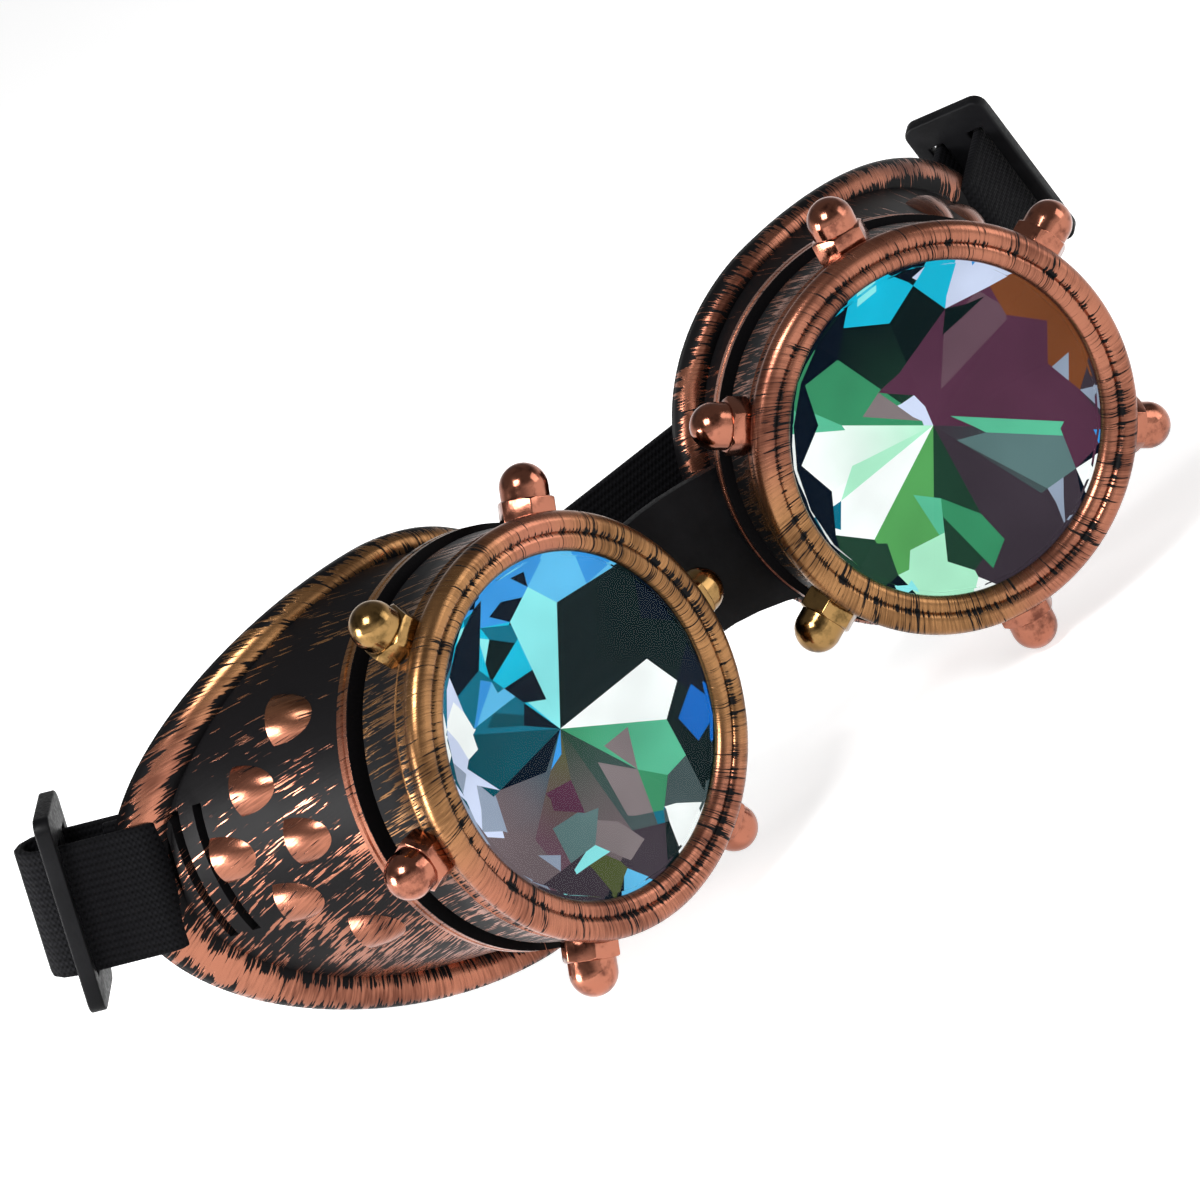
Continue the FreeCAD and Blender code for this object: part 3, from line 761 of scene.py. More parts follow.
@dataclass(frozen=True)
class SatinBlack(Finish):
    """Black moulded plastic or soft rubber with a fine grain."""

    dark: Colour = (0.003, 0.003, 0.0035, 1)
    light: Colour = (0.007, 0.007, 0.008, 1)
    rough_range: Pair = (0.36, 0.55)
    specular: float = 0.1
    cloud_scale: float = 120.0
    cloud_range: Pair = (0.35, 0.7)
    grain_scale: float = 1800.0
    grain_range: Pair = (0.3, 0.7)
    grain_depth: float = 0.00004
    grain_strength: float = 0.6

    def make(self) -> Material:
        """Builds the material.

        Returns:
            The material.
        """
        material, graph, shader, spots = self.start()
        cloud = graph.ramp(graph.noise(spots, self.cloud_scale, detail=3), *self.cloud_range)
        grain = graph.noise(spots, self.grain_scale, detail=3, roughness=0.6)
        graph.fill(shader, {"Base Color": graph.mix(cloud, self.dark, self.light),
                            "Roughness": graph.ramp(grain, *self.grain_range, *self.rough_range),
                            "Specular IOR Level": self.specular,
                            "Normal": graph.bump(grain, self.grain_depth, self.grain_strength)})
        return material


@dataclass(frozen=True)
class WovenElastic(Finish):
    """Black ribbed elastic; its ribs and yarns follow the strap's ends and its stretch behind the cups."""

    rib: float = 1.0
    yarn: float = 0.7
    dark: Colour = (0.001, 0.001, 0.0012, 1)
    light: Colour = (0.008, 0.008, 0.0095, 1)
    end_range: Pair = (0.062, 0.07)
    weave_level: float = 0.5
    weave_share: float = 0.3
    fuzz_scale: float = 2600.0
    fuzz_share: float = 0.4
    fuzz_range: Pair = (0.3, 0.7)
    rough_range: Pair = (0.62, 0.85)
    painted_shade_share: float = 0.7
    specular: float = 0.06
    sheen: float = 0.01
    sheen_rough: float = 0.4
    relief: float = 0.00016
    relief_strength: float = 0.9

    @staticmethod
    def run() -> Vector:
        """Way outwards along the left end of the strap, from the slider's joint in the record."""
        joints = {joint["name"]: joint for joint in frame["record"]["behaviour"]["joints"]}
        return -Vector(joints["left_slider_shift"]["axis"])

    def make(self) -> Material:
        """Builds the material.

        Returns:
            The material.
        """
        material, graph, shader, spots = self.start()
        way = self.run()
        upright = Vector((0, 0, 1)) - way * way.z
        x, y, z = graph.split(spots)
        outer = graph.math("ABSOLUTE", x)
        mirrored = graph.combine(outer, y, z)
        end = graph.ramp(outer, *self.end_range)
        run = graph.vector("DOT_PRODUCT", mirrored, way).outputs["Value"]
        across = graph.vector("DOT_PRODUCT", mirrored, upright.normalized()).outputs["Value"]
        along = graph.mix(end, x, run, "FLOAT")
        over = graph.mix(end, z, across, "FLOAT")
        ribs = graph.math("SINE", graph.math("MULTIPLY", over, FULL_TURN / (self.rib * MM)))
        yarns = graph.math("SINE", graph.math("MULTIPLY", along, FULL_TURN / (self.yarn * MM)))
        crossed = graph.math("MULTIPLY", ribs, yarns)
        weave = graph.math("MULTIPLY_ADD", crossed, self.weave_share, self.weave_level)
        weave = graph.math("MULTIPLY_ADD", ribs, self.weave_share, weave)
        fuzz = graph.noise(spots, self.fuzz_scale, detail=3, roughness=0.6)
        height = graph.math("MULTIPLY_ADD", fuzz, self.fuzz_share, weave)
        # Painted shade: the base colour follows the weave's height, darker in its hollows and lighter on the
        # rib tops, with a little random fuzz.
        painted_light = graph.math("MULTIPLY", height, self.painted_shade_share, clamp=True)
        graph.fill(shader, {"Base Color": graph.mix(painted_light, self.dark, self.light),
                            "Roughness": graph.ramp(fuzz, *self.fuzz_range, *self.rough_range),
                            "Specular IOR Level": self.specular, "Sheen Weight": self.sheen,
                            "Sheen Roughness": self.sheen_rough,
                            "Normal": graph.bump(height, self.relief, self.relief_strength)})
        return material


class Tint(Enum):
    """Painted reflections: the colours that the crystals throw back, painted on their facets."""

    NAVY = (0.002, 0.006, 0.014)
    SPRUCE = (0.0025, 0.010, 0.011)
    DEEP_TEAL = (0.003, 0.075, 0.105)
    TEAL = (0.004, 0.155, 0.24)
    CYAN = (0.008, 0.50, 0.72)
    COBALT = (0.004, 0.125, 0.50)
    AZURE = (0.04, 0.30, 0.72)
    SKY = (0.115, 0.51, 0.83)
    AQUA = (0.26, 0.82, 0.83)
    MOSS = (0.014, 0.050, 0.030)
    LEAF = (0.04, 0.27, 0.125)
    FERN = (0.09, 0.36, 0.10)
    MINT = (0.10, 0.50, 0.30)
    PALE_MINT = (0.42, 0.86, 0.60)
    OLIVE = (0.075, 0.095, 0.030)
    PLUM = (0.09, 0.03, 0.06)
    MAUVE = (0.13, 0.07, 0.095)
    TAUPE = (0.15, 0.115, 0.125)
    ROSE = (0.21, 0.175, 0.18)
    FOG = (0.10, 0.18, 0.18)
    SLATE = (0.055, 0.085, 0.088)
    UMBER = (0.045, 0.034, 0.046)
    RUST = (0.19, 0.058, 0.020)
    LILAC = (0.28, 0.34, 0.44)
    PEARL = (0.62, 0.70, 0.90)
    WHITE = (0.95, 1.0, 0.98)


@dataclass(frozen=True)
class FacetReflectionGlow(Finish):
    """Coloured facets behind the clear table, painted reflections that glow: each one gives off its tint as
    emitted light, whatever the lamps do.
    """

    glow: float = 0.95
    base_share: float = 0.12
    specular: float = 0.02
    haze_scale: float = 75.0
    haze_range: Pair = (0.3, 0.72)
    haze_shade: Pair = (0.86, 1.06)
    polish_scale: float = 700.0
    polish_range: Pair = (0.3, 0.7)
    rough_range: Pair = (0.12, 0.22)

    def make(self) -> Material:
        """Builds the material.

        Returns:
            The material.
        """
        material, graph, shader, spots = self.start()
        tint = graph.add("ShaderNodeAttribute", attribute_name="tint").outputs["Color"]
        haze = graph.ramp(graph.noise(spots, self.haze_scale), *self.haze_range, *self.haze_shade)
        toned = graph.scale(tint, haze)
        polish = graph.noise(spots, self.polish_scale)
        # Painted light: the tint goes to Emission, so the facets glow with their painted reflections although
        # they are no lamp.
        graph.fill(shader, {"Base Color": graph.scale(toned, self.base_share), "Emission Color": toned,
                            "Emission Strength": self.glow, "Specular IOR Level": self.specular,
                            "Roughness": graph.ramp(polish, *self.polish_range, *self.rough_range)})
        return material


@dataclass(frozen=True)
class ClearTable(Finish):
    """Clear coated front of a crystal."""

    ior: float = 1.46
    body: Colour = (0.98, 0.99, 1.0, 1)
    glare: Colour = (0.02, 0.02, 0.022, 1)
    smear_scale: float = 300.0
    smear_range: Pair = (0.62, 0.75)
    smear_rough: float = 0.015

    def make(self) -> Material:
        """Builds the material.

        Returns:
            The material.
        """
        material, graph, shader, spots = self.start()
        smear = graph.noise(spots, self.smear_scale)
        graph.fill(shader, {"Transmission Weight": 1.0, "IOR": self.ior, "Specular Tint": self.glare,
                            "Base Color": self.body,
                            "Roughness": graph.ramp(smear, *self.smear_range, 0.0, self.smear_rough)})
        return material


@dataclass
class LensRing:
    """Screw-on ring with a double-bead lip; sizes in millimetres and degrees."""

    side: Side
    bore: float = 25.25
    skirt: float = 27.2
    skirt_depth: float = 12.3
    lip_radius: float = 27.95
    lip_depth: float = 2.0
    aperture: float = 22.6
    outer_bead: float = 1.8
    inner_bead: float = 1.45
    shoulder_depth: float = 2.5
    relief: float = 0.3
    crease_depth: float = 5.4
    crease: float = 0.14
    outer_sweep: Pair = (-52.0, 124.0)
    inner_sweep: Pair = (52.0, 180.0)
    steps: int = 160

    @property
    def gold_headings(self) -> tuple[float, ...]:
        """Headings at which the copper turns to gold, in degrees."""
        return {Side.RIGHT: (135.0, 5.0), Side.LEFT: (212.0,)}[self.side]

    def bead(self, middle: float, radius: float, sweep: Pair, steps: int) -> list[Pair]:
        """Arc of one bead.

        Args:
            middle: distance of the bead's centre from the lens axis.
            radius: the bead's own radius.
            sweep: first and last angle of the arc.
            steps: steps along the arc.
        Returns:
            Radius and depth pairs.
        """
        first, last = sweep
        pairs = []
        for step in range(steps + 1):
            turn = math.radians(first + (last - first) * step / steps)
            pairs.append((middle + radius * math.cos(turn), self.lip_depth - radius * math.sin(turn)))
        return pairs

    def profile(self) -> list[Pair]:
        """Closed section of the ring as radius and depth pairs.

        Returns:
            The pairs, from the skirt's back round the lip to the bore.
        """
        outer_middle = self.lip_radius - self.outer_bead
        inner_middle = self.aperture + self.inner_bead
        low = self.crease_depth - 2 * self.crease
        high = self.crease_depth + 2 * self.crease
        line = [(self.skirt, self.skirt_depth), (self.skirt, (self.skirt_depth + high) / 2),
                (self.skirt, high), (self.skirt + self.crease, self.crease_depth), (self.skirt, low),
                (self.skirt, self.lip_depth + self.outer_bead)]
        line += self.bead(outer_middle, self.outer_bead, self.outer_sweep, steps=12)
        line += self.bead(inner_middle, self.inner_bead, self.inner_sweep, steps=10)
        edge = self.aperture + self.relief
        line += [(edge, self.shoulder_depth), (self.bore, self.shoulder_depth), (self.bore, self.skirt_depth)]
        return line

    def build(self) -> Piece:
        """Spins the ring and dresses it.

        Returns:
            The ring.
        """
        place = CUPS.place(self.side)

        def spot(turn: float, radius: float, depth: float) -> Vector:
            """Point of the ring in the object's frame, in metres."""
            return place @ (Vector((radius * math.cos(turn), radius * math.sin(turn), -depth)) * MM)

        ring = Bench.looped(f"{self.side.word}_ring_lip", self.steps, self.profile(), spot)
        Bench.smooth(ring, angle=40)
        covers = (("Depth", 2.4, 5.0, 0.56, 0.38), ("Depth", 5.6, 9.0, 0.0, -0.14),
                  ("Radius", 24.3, 24.8, 0.0, -0.16), ("Radius", 25.2, 25.8, 0.0, 0.2),
                  ("Depth", 5.15, 5.3, 0.0, 0.25), ("Depth", 5.5, 5.65, 0.0, -0.25))
        finish = AntiquedCopper(f"{self.side.word}_ring_copper", self.side, base_cover=0.1, covers=covers,
                                gold_headings=self.gold_headings, black=(0.006, 0.006, 0.0065, 1))
        return Bench.finish(ring, finish.make(), f"{self.side.word}_ring", "antiqued_ring",
                            f"{self.side.word}_lens_ring")


@dataclass
class AcornNuts:
    """Six domed nuts round one ring; sizes in millimetres and degrees."""

    side: Side
    count: int = 6
    flats: float = 7.0
    hex_height: float = 3.2
    chamfer_angle: float = 27.0
    edge: float = 0.14
    dome_radius: float = 3.25
    height: float = 8.0
    seat_radius: float = 26.9
    depth: float = 6.5

    @property
    def first_angle(self) -> float:
        """Angle of the first nut round the lens axis, in degrees."""
        return {Side.RIGHT: 60.5, Side.LEFT: 86.6}[self.side]

    @property
    def brass_headings(self) -> tuple[float, ...]:
        """Headings of the nuts that are brass, in degrees."""
        return {Side.RIGHT: (0.5, 120.5), Side.LEFT: (206.6,)}[self.side]

    def hexagon(self) -> Piece:
        """Hexagon of a nut with its corners chamfered above and below.

        Returns:
            The hexagon, in metres, standing on the origin.
        """
        Bench.clear()
        bpy.ops.mesh.primitive_cylinder_add(vertices=self.count, radius=self.flats / math.sqrt(3) * MM,
                                            depth=self.hex_height * MM,
                                            location=(0, 0, self.hex_height / 2 * MM))
        hexagon = Bench.named("nut_hexagon")
        bpy.ops.object.transform_apply(location=True, rotation=True, scale=True)
        corners = [vertex.co.copy() for vertex in hexagon.data.vertices]
        tilt = math.radians(self.chamfer_angle)
        for corner in corners:
            way = Vector((corner.x, corner.y, 0)).normalized()
            sign = 1 if corner.z > self.hex_height / 2 * MM else -1
            Bench.edit(hexagon)
            bpy.ops.mesh.bisect(plane_co=way * (self.flats / 2 * MM) + Vector((0, 0, corner.z)),
                                plane_no=way * math.sin(tilt) + Vector((0, 0, sign * math.cos(tilt))),
                                clear_outer=True, use_fill=True)
            Bench.done()
        Bench.close(hexagon)
        Bench.apply(hexagon, "BEVEL", width=self.edge * MM, segments=2, limit_method="ANGLE",
                    angle_limit=math.radians(20))
        return hexagon

    def dome(self) -> Piece:
        """Half ball on a short round neck.

        Returns:
            The dome, in metres, over the origin.
        """
        Bench.clear()
        middle = self.height - self.dome_radius
        bpy.ops.mesh.primitive_uv_sphere_add(segments=40, ring_count=24, radius=self.dome_radius * MM,
                                             location=(0, 0, middle * MM))
        dome = Bench.named("nut_dome")
        bpy.ops.object.transform_apply(location=True, rotation=True, scale=True)
        Bench.edit(dome)
        bpy.ops.mesh.bisect(plane_co=(0, 0, (middle - self.edge) * MM), plane_no=(0, 0, 1), clear_inner=True)
        bpy.ops.mesh.extrude_edges_move(TRANSFORM_OT_translate={
            "value": (0, 0, (self.hex_height - middle) * MM)})
        bpy.ops.mesh.edge_face_add()
        Bench.done()
        Bench.close(dome)
        return dome

    def one(self) -> Piece:
        """One nut standing on the origin.

        Returns:
            The nut, in metres.
        """
        nut = Bench.join("nut", [self.hexagon(), self.dome()])
        Bench.smooth(nut, angle=30)
        return nut

    def build(self) -> Piece:
        """Sets the nuts round the ring and dresses them.

        Returns:
            The nuts as one piece.
        """
        nut = self.one()
        place = CUPS.place(self.side)
        copies = []
        for index in range(self.count):
            angle = math.radians(self.first_angle) + FULL_TURN * index / self.count
            stand = Matrix.Rotation(angle, 4, "Z") @ Matrix.Rotation(math.pi / 2, 4, "Y")
            level = Vector((math.cos(angle), math.sin(angle), 0)) * self.seat_radius
            base = Matrix.Translation((level - Vector((0, 0, self.depth))) * MM)
            copies.append(Bench.twin(nut, f"nut_{index}", place @ base @ stand))
        bpy.data.objects.remove(nut)
        nuts = Bench.join(f"{self.side.word}_domed_nuts", copies)
        finish = PolishedNut(f"{self.side.word}_nut_copper", self.side, self.brass_headings)
        return Bench.finish(nuts, finish.make(), f"{self.side.word}_ring", "domed_nut",
                            f"{self.side.word}_acorn_nuts")


@dataclass(frozen=True)
class Ghost:
    """Painted reflection: a polygon of light that other facets throw into a crystal.

    corners are places round the lens, in facets from the first kite, and shares of the lens radius.
    """

    tint: Tint
    corners: tuple[Pair, ...]

    def outline(self) -> list[Vector]:
        """Corners in shares of the lens radius, counter-clockwise.

        Returns:
            The corners.
        """
        spots = []
        for place, share in self.corners:
            angle = FULL_TURN * place / FACETS
            spots.append(Vector((share * math.cos(angle), share * math.sin(angle))))
        area = sum(one.cross(two) for one, two in zip(spots, spots[1:] + spots[:1]))
        return spots if area > 0 else spots[::-1]

    def edges(self) -> list[tuple[Vector, Vector]]:
        """Pairs of neighbouring corners, counter-clockwise."""
        spots = self.outline()
        return list(zip(spots, spots[1:] + spots[:1]))

    def misses(self, spots: Sequence[Vector]) -> bool:
        """Whether a set of points lies wholly outside one edge."""
        return any(all((stop - start).cross(spot - start) < MERGE for spot in spots)
                   for start, stop in self.edges())

    def holds(self, spot: Vector) -> bool:
        """Whether a point lies inside."""
        return not self.misses([spot])


@dataclass(frozen=True)
class FacetTints:
    """Painted reflections: base tints of one crystal's facets in order round the lens."""

    inner: tuple[Tint, ...]
    outer: tuple[Tint, ...]
    star: tuple[Tint, ...]
    edge: tuple[Tint, ...]
    ghosts: tuple[Ghost, ...]


def tint_row(words: str) -> tuple[Tint, ...]:
    """Tints by their names, in order round the lens."""
    return tuple(Tint[word] for word in words.split())


def near_tints() -> FacetTints:
    """Painted reflections on the facets of the wearer's right crystal, blue and green with a white blade.

    Returns:
        The tints.
    """
    return FacetTints(
        inner=tint_row("SPRUCE SPRUCE AQUA CYAN TEAL DEEP_TEAL DEEP_TEAL OLIVE MOSS MOSS LEAF WHITE"),
        outer=tint_row("SPRUCE SPRUCE AQUA CYAN TEAL DEEP_TEAL TAUPE MAUVE TAUPE SLATE MINT WHITE"),
        star=tint_row("SPRUCE SKY AZURE NAVY PEARL PEARL TAUPE UMBER UMBER SLATE SPRUCE SPRUCE"),
        edge=tint_row("NAVY SKY AZURE NAVY PEARL LILAC TAUPE UMBER NAVY SPRUCE SPRUCE NAVY"),
        ghosts=(
            Ghost(Tint.AZURE, ((1.25, 0.95), (1, 0.85), (0.6, 1))),
            Ghost(Tint.NAVY, ((2.2, 0.9), (2, 0.9), (2.1, 0.85))),
            Ghost(Tint.NAVY, ((2.8, 0.85), (2.5, 0.85), (2.1, 0.8), (2.5, 0.7))),
            Ghost(Tint.NAVY, ((3.5, 0.5), (2.5, 0.4), (2.5, 0.2), (3.4, 0.3))),
            Ghost(Tint.AQUA, ((3.4, 0.3), (2.5, 0.2), (3, 0))),
            Ghost(Tint.SPRUCE, ((3, 0.75), (2.6, 0.6), (3.5, 0.6), (3.3, 0.7))),
            Ghost(Tint.TEAL, ((3, 0.85), (2.5, 0.7), (2.6, 0.6), (3, 0.75))),
            Ghost(Tint.AQUA, ((3.1, 0.8), (3, 0.75), (3.3, 0.7), (3.3, 0.75))),
            Ghost(Tint.AZURE, ((3.5, 0.7), (3.6, 0.6), (4, 0.6), (4.4, 0.7))),
            Ghost(Tint.SKY, ((3.6, 0.6), (3.5, 0.4), (4.4, 0.7))),
            Ghost(Tint.DEEP_TEAL, ((4.1, 0.55), (3.9, 0.3), (4.3, 0.3), (4.4, 0.6))),
            Ghost(Tint.NAVY, ((3.5, 0.3), (4, 0), (4.3, 0.3))),
            Ghost(Tint.NAVY, ((5.5, 0.65), (6.3, 0.3), (6.3, 0.2), (5.5, 0))),
            Ghost(Tint.WHITE, ((4.1, 0.85), (4.4, 0.7), (4.7, 0.7), (4.8, 0.8), (4.4, 0.9))),
            Ghost(Tint.PEARL, ((5, 0.8), (5.5, 0.65), (5.2, 0.8))),
            Ghost(Tint.LILAC, ((5.2, 0.8), (5.5, 0.7), (6, 0.8), (5.7, 0.9))),
            Ghost(Tint.AZURE, ((6.5, 0.2), (7.5, 0), (7.1, 0.15))),
            Ghost(Tint.PLUM, ((6.6, 0.4), (7.5, 0.3), (7.7, 0.5), (6.8, 0.5))),
            Ghost(Tint.FOG, ((6.8, 0.6), (7.3, 0.5), (8.1, 0.5), (7.7, 0.7), (7.2, 0.8))),
            Ghost(Tint.ROSE, ((8.1, 0.5), (8.4, 0.65), (8.8, 0.8), (8.2, 0.85), (7.7, 0.7))),
            Ghost(Tint.ROSE, ((9, 0.3), (9.5, 0.55), (9, 0.75), (8.6, 0.65))),
            Ghost(Tint.LEAF, ((9.5, 0.55), (9.6, 0.75), (9.2, 0.8), (9, 0.75))),
            Ghost(Tint.TEAL, ((9, 0.75), (9.2, 0.8), (9, 0.85), (8.9, 0.8))),
            Ghost(Tint.ROSE, ((10.4, 0.45), (9.7, 0.3), (9.5, 0.55))),
            Ghost(Tint.COBALT, ((10.9, 0.9), (10.6, 1), (10.2, 0.9), (10.5, 0.8))),
            Ghost(Tint.WHITE, ((9.2, 0.8), (9.6, 1), (8.8, 1))),
            Ghost(Tint.AQUA, ((7.3, 0.8), (7.7, 0.7), (8, 0.75), (7.5, 0.8))),
            Ghost(Tint.OLIVE, ((7.5, 0.8), (7.8, 0.75), (8.1, 0.85), (7.8, 0.95))),
            Ghost(Tint.SKY, ((8.1, 0.85), (8.4, 0.95), (8.1, 1), (7.9, 0.95))),
            Ghost(Tint.LILAC, ((6.6, 0.8), (7, 0.75), (7, 0.85))),
        ),
    )


def far_tints() -> FacetTints:
    """Painted reflections on the facets of the wearer's left crystal, white and green against plum.

    Returns:
        The tints.
    """
    return FacetTints(
        inner=tint_row("PLUM PLUM SPRUCE MOSS LEAF PALE_MINT WHITE FERN MOSS UMBER UMBER PLUM"),
        outer=tint_row("PLUM PLUM SPRUCE SPRUCE LEAF WHITE WHITE FERN MOSS UMBER SLATE PLUM"),
        star=tint_row("RUST PEARL NAVY NAVY NAVY NAVY MOSS PALE_MINT UMBER UMBER PLUM RUST"),
        edge=tint_row("RUST PEARL NAVY NAVY NAVY NAVY NAVY NAVY UMBER UMBER NAVY UMBER"),
        ghosts=(
            Ghost(Tint.CYAN, ((1.65, 1), (1.4, 1), (1.5, 0.65), (2, 0.8))),
            Ghost(Tint.PEARL, ((1.3, 1), (0.6, 1), (1.5, 0.65), (1.4, 0.8))),
            Ghost(Tint.AZURE, ((1.3, 1), (1.1, 1), (1.2, 0.9))),
            Ghost(Tint.CYAN, ((2.4, 0.95), (2, 0.8), (2.5, 0.65), (3.1, 0.8), (2.7, 0.95))),
            Ghost(Tint.AQUA, ((2.7, 0.95), (2.4, 0.9), (2.5, 0.85), (2.8, 0.85))),
            Ghost(Tint.MAUVE, ((1.1, 0.75), (0.8, 0.75), (0.45, 0.7), (1.3, 0.2), (1.5, 0.5))),
            Ghost(Tint.SPRUCE, ((1.5, 0.65), (1.1, 0.7), (1.1, 0.65), (1.5, 0.5))),
            Ghost(Tint.PLUM, ((2.5, 0.4), (1.5, 0.65), (1.5, 0), (2.8, 0.2))),
            Ghost(Tint.PLUM, ((2.6, 0.4), (2.6, 0.35), (2.8, 0.2), (3.6, 0.4))),
            Ghost(Tint.PEARL, ((3.6, 0.25), (2.8, 0.2), (4, 0), (4, 0.1))),
            Ghost(Tint.ROSE, ((3.6, 0.4), (4, 0.1), (4.3, 0.45))),
            Ghost(Tint.MINT, ((4.4, 0.7), (4.4, 0.6), (4.6, 0.55), (4.6, 0.7))),
            Ghost(Tint.TEAL, ((4.4, 0.65), (4.4, 0.5), (4.6, 0.55))),
            Ghost(Tint.PALE_MINT, ((5.7, 0.7), (5.3, 0.55), (6.3, 0))),
            Ghost(Tint.MINT, ((6.9, 0.4), (7.7, 0.4), (7.7, 0.75), (7.1, 0.7))),
            Ghost(Tint.FERN, ((6.8, 0.7), (6.9, 0.4), (7.6, 0.6), (7.1, 0.7))),
            Ghost(Tint.PALE_MINT, ((7.7, 0.6), (7.7, 0.75), (7.2, 0.85), (7.1, 0.7))),
            Ghost(Tint.LEAF, ((7.7, 0.4), (8.5, 0.55), (8.6, 0.75), (8.3, 0.85), (7.7, 0.5))),
            Ghost(Tint.PALE_MINT, ((7.7, 0.75), (8.1, 0.85), (7.9, 1), (7.5, 1), (7.2, 0.85))),
            Ghost(Tint.WHITE, ((8.1, 0.85), (8.4, 1), (7.9, 1))),
            Ghost(Tint.AQUA, ((7, 0.9), (7.2, 0.85), (7.4, 0.9), (7.1, 0.95))),
            Ghost(Tint.MOSS, ((6.2, 0.85), (6.7, 0.7), (7, 0.85), (6.8, 0.95), (6.4, 0.95))),
            Ghost(Tint.TEAL, ((5.8, 0.8), (5.7, 0.75), (5.8, 0.7), (6, 0.8))),
            Ghost(Tint.FOG, ((9.4, 0.15), (10.3, 0.3), (10.4, 0.75), (10, 0.85), (9.6, 0.75), (9.6, 0.7))),
            Ghost(Tint.MINT, ((11, 0.15), (11, 0.2), (10.6, 0.75), (10.4, 0.75), (10.3, 0.3))),
            Ghost(Tint.LILAC, ((9.6, 0.75), (9.8, 0.8), (9.4, 0.9))),
            Ghost(Tint.WHITE, ((10, 0.85), (10.3, 1), (9.7, 1))),
            Ghost(Tint.AZURE, ((10.5, 0.9), (10.5, 1), (10.3, 0.95))),
            Ghost(Tint.LILAC, ((11, 0.85), (11, 0.95), (10.7, 0.95))),
            Ghost(Tint.COBALT, ((11, 0.95), (11, 1), (10.7, 0.95))),
            Ghost(Tint.LILAC, ((11.4, 0.7), (11.5, 0.85), (11.2, 0.8))),
        ),
    )


@dataclass
class Crystal:
    """Crystal of one cup: clear table in front, coloured facets behind; sizes in millimetres and degrees."""

    side: Side
    facets: int = FACETS
    girdle_depth: float = 3.8
    girdle_play: float = 0.02
    kite_share: float = 0.7
    star_share: float = 0.9
    lens_radius: float = 25.0
    kite_tip: float = 0.845

    @property
    def drawn_in(self) -> float:
        """Share of their packed reach that the facets keep."""
        return {Side.RIGHT: 0.9, Side.LEFT: 0.98}[self.side]

    @property
    def turn(self) -> float:
        """Angle of the first kite round the lens axis, in degrees."""
        return {Side.RIGHT: 13.5, Side.LEFT: 10.8}[self.side]

    def tints(self) -> FacetTints:
        """Tints of this side's facets."""
        return near_tints() if self.side is Side.RIGHT else far_tints()

    def facet_frame(self) -> Matrix:
        """Cup's own frame turned so that its x axis runs along the first kite."""
        return CUPS.place(self.side) @ Matrix.Rotation(math.radians(self.turn), 4, "Z")

    def spot(self, point: Vector) -> Vector:
        """Place of a point across the lens from the first kite, in shares of the lens radius."""
        local = self.facet_frame().inverted() @ point
        return Vector((local.x, local.y)) / (self.lens_radius * MM)

    def behind(self, local: Vector) -> bool:
        """Whether a point of the cup's own frame lies behind the girdle."""
        return local.z < -(self.girdle_depth + self.girdle_play) * MM

    def mark_facets(self, crystal: Piece) -> None:
        """Notes on each face which facet it is: kite, star or edge, and its place round the lens.

        Args:
            crystal: the crystal's object.
        """
        mesh = crystal.data
        back = CUPS.place(self.side).inverted()
        facet = mesh.attributes.new("facet", "INT", "FACE")
        for face in mesh.polygons:
            face.material_index = int(self.behind(back @ face.center))
            spot = self.spot(face.center)
            places = math.atan2(spot.y, spot.x) * self.facets / FULL_TURN
            kind = int(spot.length > self.kite_share) + int(spot.length > self.star_share)
            index = (math.floor(places) if kind == 1 else round(places)) % self.facets
            facet.data[face.index].value = kind * self.facets + index

    def cut(self, crystal: Piece, ghost: Ghost) -> None:
        """Cuts the facets along a ghost's edges.

        Args:
            crystal: the crystal's object.
            ghost: the polygon.
        """
        place = self.facet_frame()
        for start, stop in ghost.edges():
            Bench.edit(crystal)
            bpy.ops.mesh.select_mode(type="FACE")
            bpy.ops.mesh.select_all(action="DESELECT")
            Bench.done()
            mesh = crystal.data
            for face in mesh.polygons:
                if face.material_index:
                    corners = [self.spot(mesh.vertices[index].co) for index in face.vertices]
                    face.select = not ghost.misses(corners)
            bpy.ops.object.mode_set(mode="EDIT")
            along = stop - start
            bpy.ops.mesh.bisect(plane_co=place @ (start.to_3d() * self.lens_radius * MM),
                                plane_no=place.to_3x3() @ Vector((along.y, -along.x, 0)))
            Bench.done()

    def colour(self, crystal: Piece, tints: FacetTints) -> None:
        """Paints the reflections: colours every facet and ghost corner by corner.

        Args:
            crystal: the crystal's object.
            tints: its tints.
        """
        mesh = crystal.data
        tint = mesh.attributes.new("tint", "FLOAT_COLOR", "CORNER")
        facet = mesh.attributes["facet"].data
        for face in mesh.polygons:
            kind, index = divmod(facet[face.index].value, self.facets)
            centre = self.spot(face.center)
            thrown = [ghost.tint for ghost in tints.ghosts if ghost.holds(centre)]
            for corner in face.loop_indices:
                reach = self.spot(mesh.vertices[mesh.loops[corner].vertex_index].co).length
                # Painted reflections: a ghost's tint wins, else a kite's tint runs from its inner to its
                # outer colour.
                if thrown:
                    painted_light = Vector(thrown[-1].value)
                elif kind == 0:
                    outer = Vector(tints.outer[index].value)
                    painted_light = Vector(tints.inner[index].value).lerp(outer, min(reach / self.kite_share, 1))
                else:
                    painted_light = Vector((tints.star if kind == 1 else tints.edge)[index].value)
                tint.data[corner].color = (*painted_light, 1)

    def draw_in(self, crystal: Piece) -> None:
        """Moves the kites' ends towards the axis and leaves the girdle where it is.

        Args:
            crystal: the crystal's object.
        """
        place = CUPS.place(self.side)
        back = place.inverted()
        tip = self.kite_tip * self.lens_radius * MM
        rim = self.lens_radius * MM
        for vertex in crystal.data.vertices:
            local = back @ vertex.co
            reach = math.hypot(local.x, local.y)
            if self.behind(local):
                beyond = max(0.0, (reach - tip) / (rim - tip))
                factor = self.drawn_in + (1 - self.drawn_in) * beyond
                vertex.co = place @ Vector((local.x * factor, local.y * factor, local.z))

